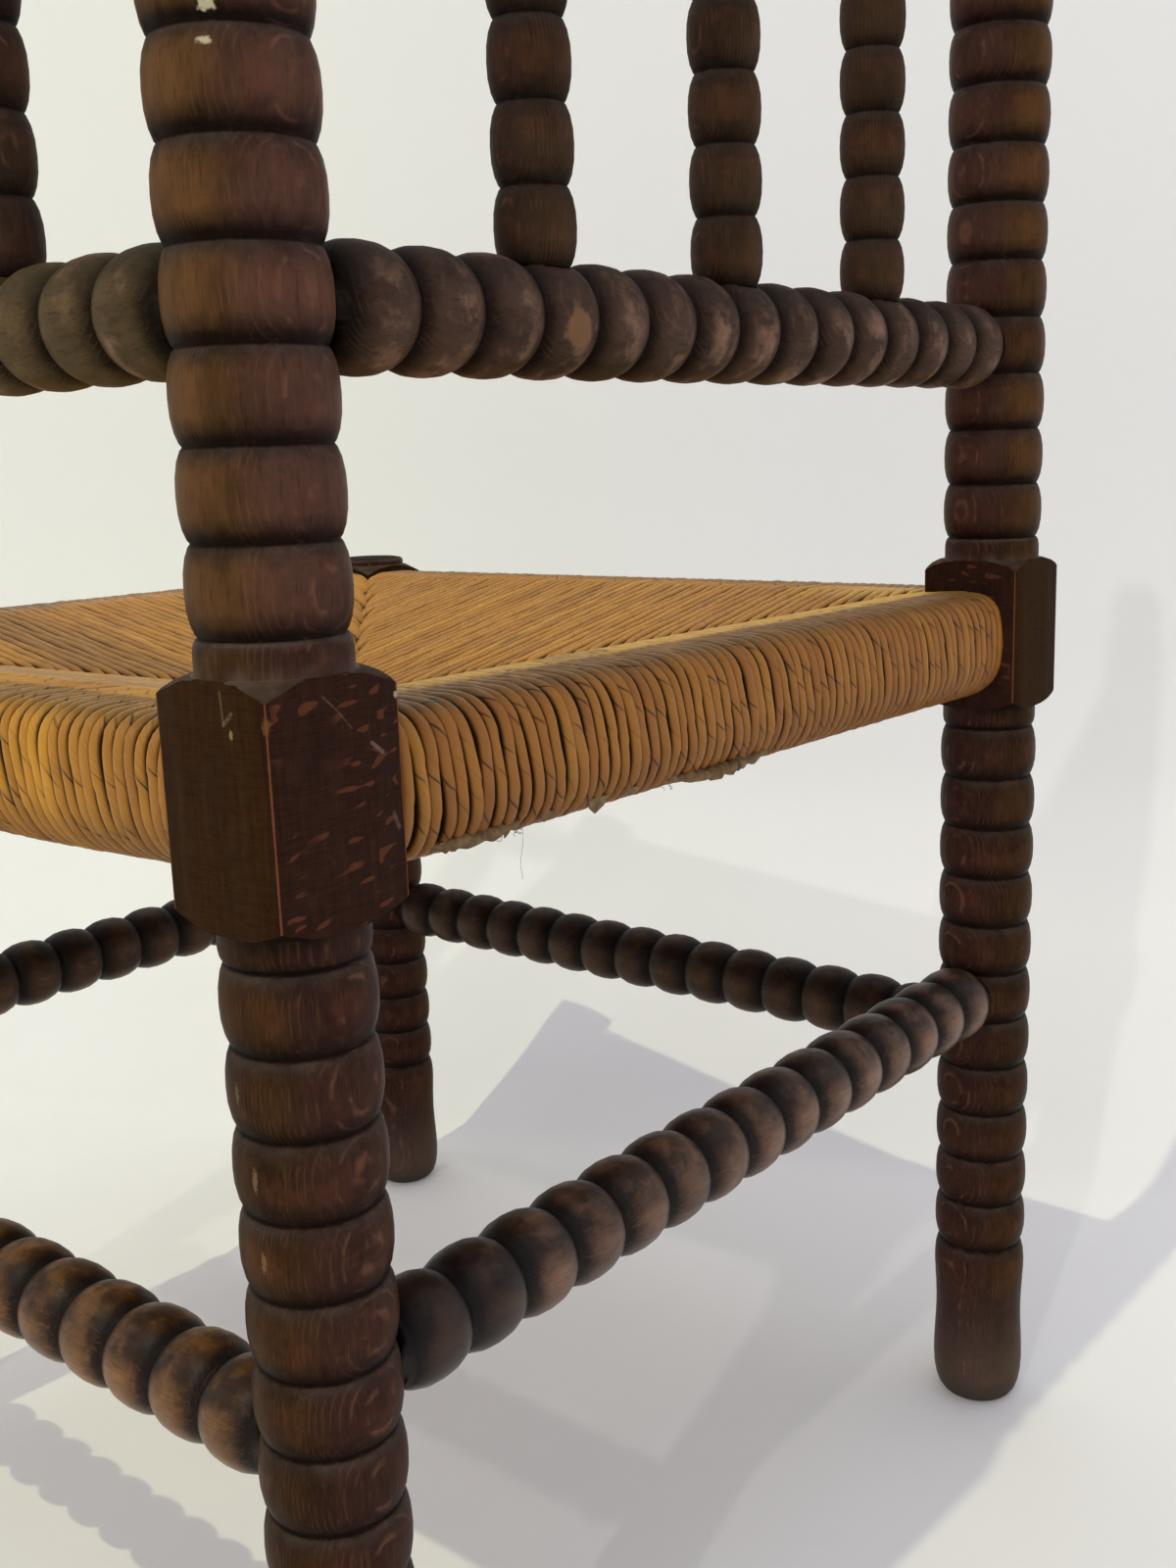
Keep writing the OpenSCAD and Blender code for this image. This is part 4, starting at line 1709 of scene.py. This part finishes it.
    def build(self) -> None:
        """Hangs every loose end."""
        for number, strand in enumerate(self.strands, 1):
            self.sag(number, *strand)
        for number, flake in enumerate(self.flakes, 1):
            self.tear(number, *flake)
        self.threads()


@dataclass
class Studio:
    """The pale room, its lights and the camera.

    Attributes:
        camera_place: Where the camera stands.
        heading: The level direction that it looks in.
        tilt: How far it looks up, in degrees.
        roll: How far it leans, in degrees.
        lens: Focal length in millimetres on a 36 mm sensor.
        wall: Colour of the upright part of the backdrop.
        floor: Colour of the floor.
        far_side: Colour of both towards the right of the picture, which is a little cooler: painted
            light, for the cooler light that falls there.
        wall_turn: How far the backdrop is turned round the chair from facing +Y, in degrees.
        wall_start: How far from the chair's middle the backdrop starts to rise.
        floor_reach: How far the floor goes on from the chair.
    """

    camera_place: tuple[float, float, float] = (-0.0451, 0.7253, 0.4809)
    heading: tuple[float, float] = (-0.0870, -0.9964)
    tilt: float = -11.718
    roll: float = -1.967
    lens: float = 36.416
    wall: tuple = stain(243, 244, 236)
    floor: tuple = stain(240, 240, 239)
    far_side: tuple = stain(238, 238, 243)
    wall_turn: float = 20.0
    wall_start: float = 0.33
    floor_reach: float = 9.0

    def set_camera(self) -> None:
        """Puts the camera where the photograph was taken from."""
        tilt, roll = math.radians(self.tilt), math.radians(self.roll)
        level = Vector((*self.heading, 0.0)).normalized()
        ahead = level * math.cos(tilt) + Vector((0, 0, math.sin(tilt)))
        right = ahead.cross(UP).normalized()
        up = right.cross(ahead)
        leaned_right = right * math.cos(roll) + up * math.sin(roll)
        leaned_up = up * math.cos(roll) - right * math.sin(roll)
        data = bpy.data.cameras.new("camera")
        data.lens = self.lens
        data.sensor_width = 36.0
        data.sensor_fit = "AUTO"
        data.clip_start = 0.02
        camera = bpy.data.objects.new("camera", data)
        axes = Matrix((leaned_right, leaned_up, -ahead)).transposed()
        camera.matrix_world = Matrix.Translation(self.camera_place) @ axes.to_4x4()
        bpy.context.scene.collection.objects.link(camera)
        bpy.context.scene.camera = camera

    def add_spot(self, name: str, slope: tuple[float, float], strength: float, angle: float,
                 colour: tuple[float, float, float]) -> None:
        """Adds a far spotlight, whose rays are all but parallel.

        Args:
            name: The lamp's name.
            slope: How far the lamp lies towards +X and +Y for each unit of height.
            strength: Its light on a surface that faces it.
            angle: How wide it looks from the chair, in degrees.
            colour: Its colour.
        """
        data = bpy.data.lights.new(name, "SUN")
        data.energy = strength
        data.color = colour
        data.angle = math.radians(angle)
        lamp = bpy.data.objects.new(name, data)
        towards = Vector((*slope, 1.0))
        lamp.rotation_euler = towards.to_track_quat("Z", "Y").to_euler()
        lamp.location = towards.normalized() * 3.0
        bpy.context.scene.collection.objects.link(lamp)

    def light(self) -> None:
        """Sets the soft light of the room and its spotlights."""
        world = bpy.data.worlds.new("room")
        bpy.context.scene.world = world
        world.use_nodes = True
        make = Nodes(world.node_tree)
        sky = world.node_tree.nodes["Background"]
        _, towards_back, up = make.split(make.add("ShaderNodeTexCoord").outputs["Generated"])
        ceiling = make.ramp(up, 0.0, 0.8, 0.57, 0.63)
        beyond = make.ramp(towards_back, 0.5, -0.6, 0.0, 0.20)
        make.join(make.math("ADD", ceiling, beyond), sky.inputs["Strength"])
        sky.inputs["Color"].default_value = (0.962, 0.950, 1.05, 1.0)
        backdrop = make.add("ShaderNodeBackground")
        backdrop.inputs["Color"].default_value = self.wall
        backdrop.inputs["Strength"].default_value = 0.94
        seen = make.add("ShaderNodeMixShader")
        make.join(make.add("ShaderNodeLightPath").outputs["Is Camera Ray"], seen.inputs[0])
        make.join(sky.outputs[0], seen.inputs[1])
        make.join(backdrop.outputs[0], seen.inputs[2])
        make.join(seen.outputs[0], world.node_tree.nodes["World Output"].inputs["Surface"])
        self.add_spot("key_spot", (0.355, 0.325), 0.76, 0.6, (1.0, 1.0, 0.64))
        self.add_spot("low_spot", (0.675, 1.13), 0.28, 1.0, (1.0, 0.97, 0.86))

    def lay_floor(self) -> None:
        """Lays a pale floor that sweeps up into a wall close behind the chair."""
        rise = ((0.0, 0.0), (0.03, 0.004), (0.07, 0.028), (0.12, 0.062), (0.20, 0.112),
                (0.27, 0.156), (0.31, 0.22), (0.33, 0.32), (0.345, 0.5), (0.355, 1.0),
                (0.36, 4.0))
        turn = math.radians(self.wall_turn)
        away = Vector((-math.sin(turn), -math.cos(turn), 0.0))
        aside = Vector((math.cos(turn), -math.sin(turn), 0.0))
        rows = [(-self.floor_reach, 0.0)] + [(self.wall_start + out, up) for out, up in rise]
        rows.append((self.floor_reach, 0.0))
        points, faces = [], []
        for out, up in rows:
            points += [away * out + aside * reach + Vector((0, 0, up))
                       for reach in (-self.floor_reach, self.floor_reach)]
        for row in range(len(rows) - 2):
            faces.append((2 * row, 2 * row + 1, 2 * row + 3, 2 * row + 2))
        # beyond the sweep the floor goes on level, for views through the wall's back
        last = 2 * (len(rows) - 1)
        faces.append((2, 3, last + 1, last))
        piece = new_piece("floor", np.array(points), faces, self.plaster())
        if piece.data.polygons[0].normal.z < 0:
            piece.data.flip_normals()

    def plaster(self) -> bpy.types.Material:
        """Makes the pale plaster of the floor and the wall, which shows from one side only and
        glows faintly as painted light.

        Returns:
            The material.
        """
        material, make, shader = plain_material("plaster")
        place = make.add("ShaderNodeTexCoord").outputs["Object"]
        climb = make.ramp(make.split(place)[2], 0.0, 0.35)
        speckle = make.ramp(make.noise(place, 9.0, 5.0), 0.35, 0.65, 0.0, 0.35)
        colour = make.mix(speckle, self.floor, stain(234, 234, 233))
        colour = make.mix(climb, colour, self.wall)
        # painted light: cooler towards -X
        cool = make.ramp(make.split(place)[0], 0.15, -0.45, 0.0, 0.7)
        make.join(make.mix(cool, colour, self.far_side), shader.inputs["Base Color"])
        # the floor and the wall glow faintly, more high on the wall: painted light that lifts the
        # floor's shadows and brightens the wall
        shader.inputs["Emission Color"].default_value = self.wall
        make.join(make.ramp(make.split(place)[2], 0.45, 0.85, 0.045, 0.08),
                  shader.inputs["Emission Strength"])
        shader.inputs["Roughness"].default_value = 0.85
        # from behind the wall and from under the floor the chair still shows
        one_sided = make.add("ShaderNodeMixShader")
        make.join(make.add("ShaderNodeNewGeometry").outputs["Backfacing"], one_sided.inputs[0])
        make.join(shader.outputs[0], one_sided.inputs[1])
        make.join(make.add("ShaderNodeBsdfTransparent").outputs[0], one_sided.inputs[2])
        make.join(one_sided.outputs[0],
                  material.node_tree.nodes["Material Output"].inputs["Surface"])
        return material

    def build(self) -> None:
        """Sets up the room, its light and the camera."""
        self.set_camera()
        self.light()
        self.lay_floor()
        scene = bpy.context.scene
        scene.view_settings.view_transform = "Standard"


def main() -> None:
    """Dresses the chair, piece by piece."""
    logging.basicConfig(level=logging.INFO, format="%(name)s %(message)s")
    Turnings().build()
    RushSeat().build()
    Studio().build()


if __name__ == "__main__":
    main()
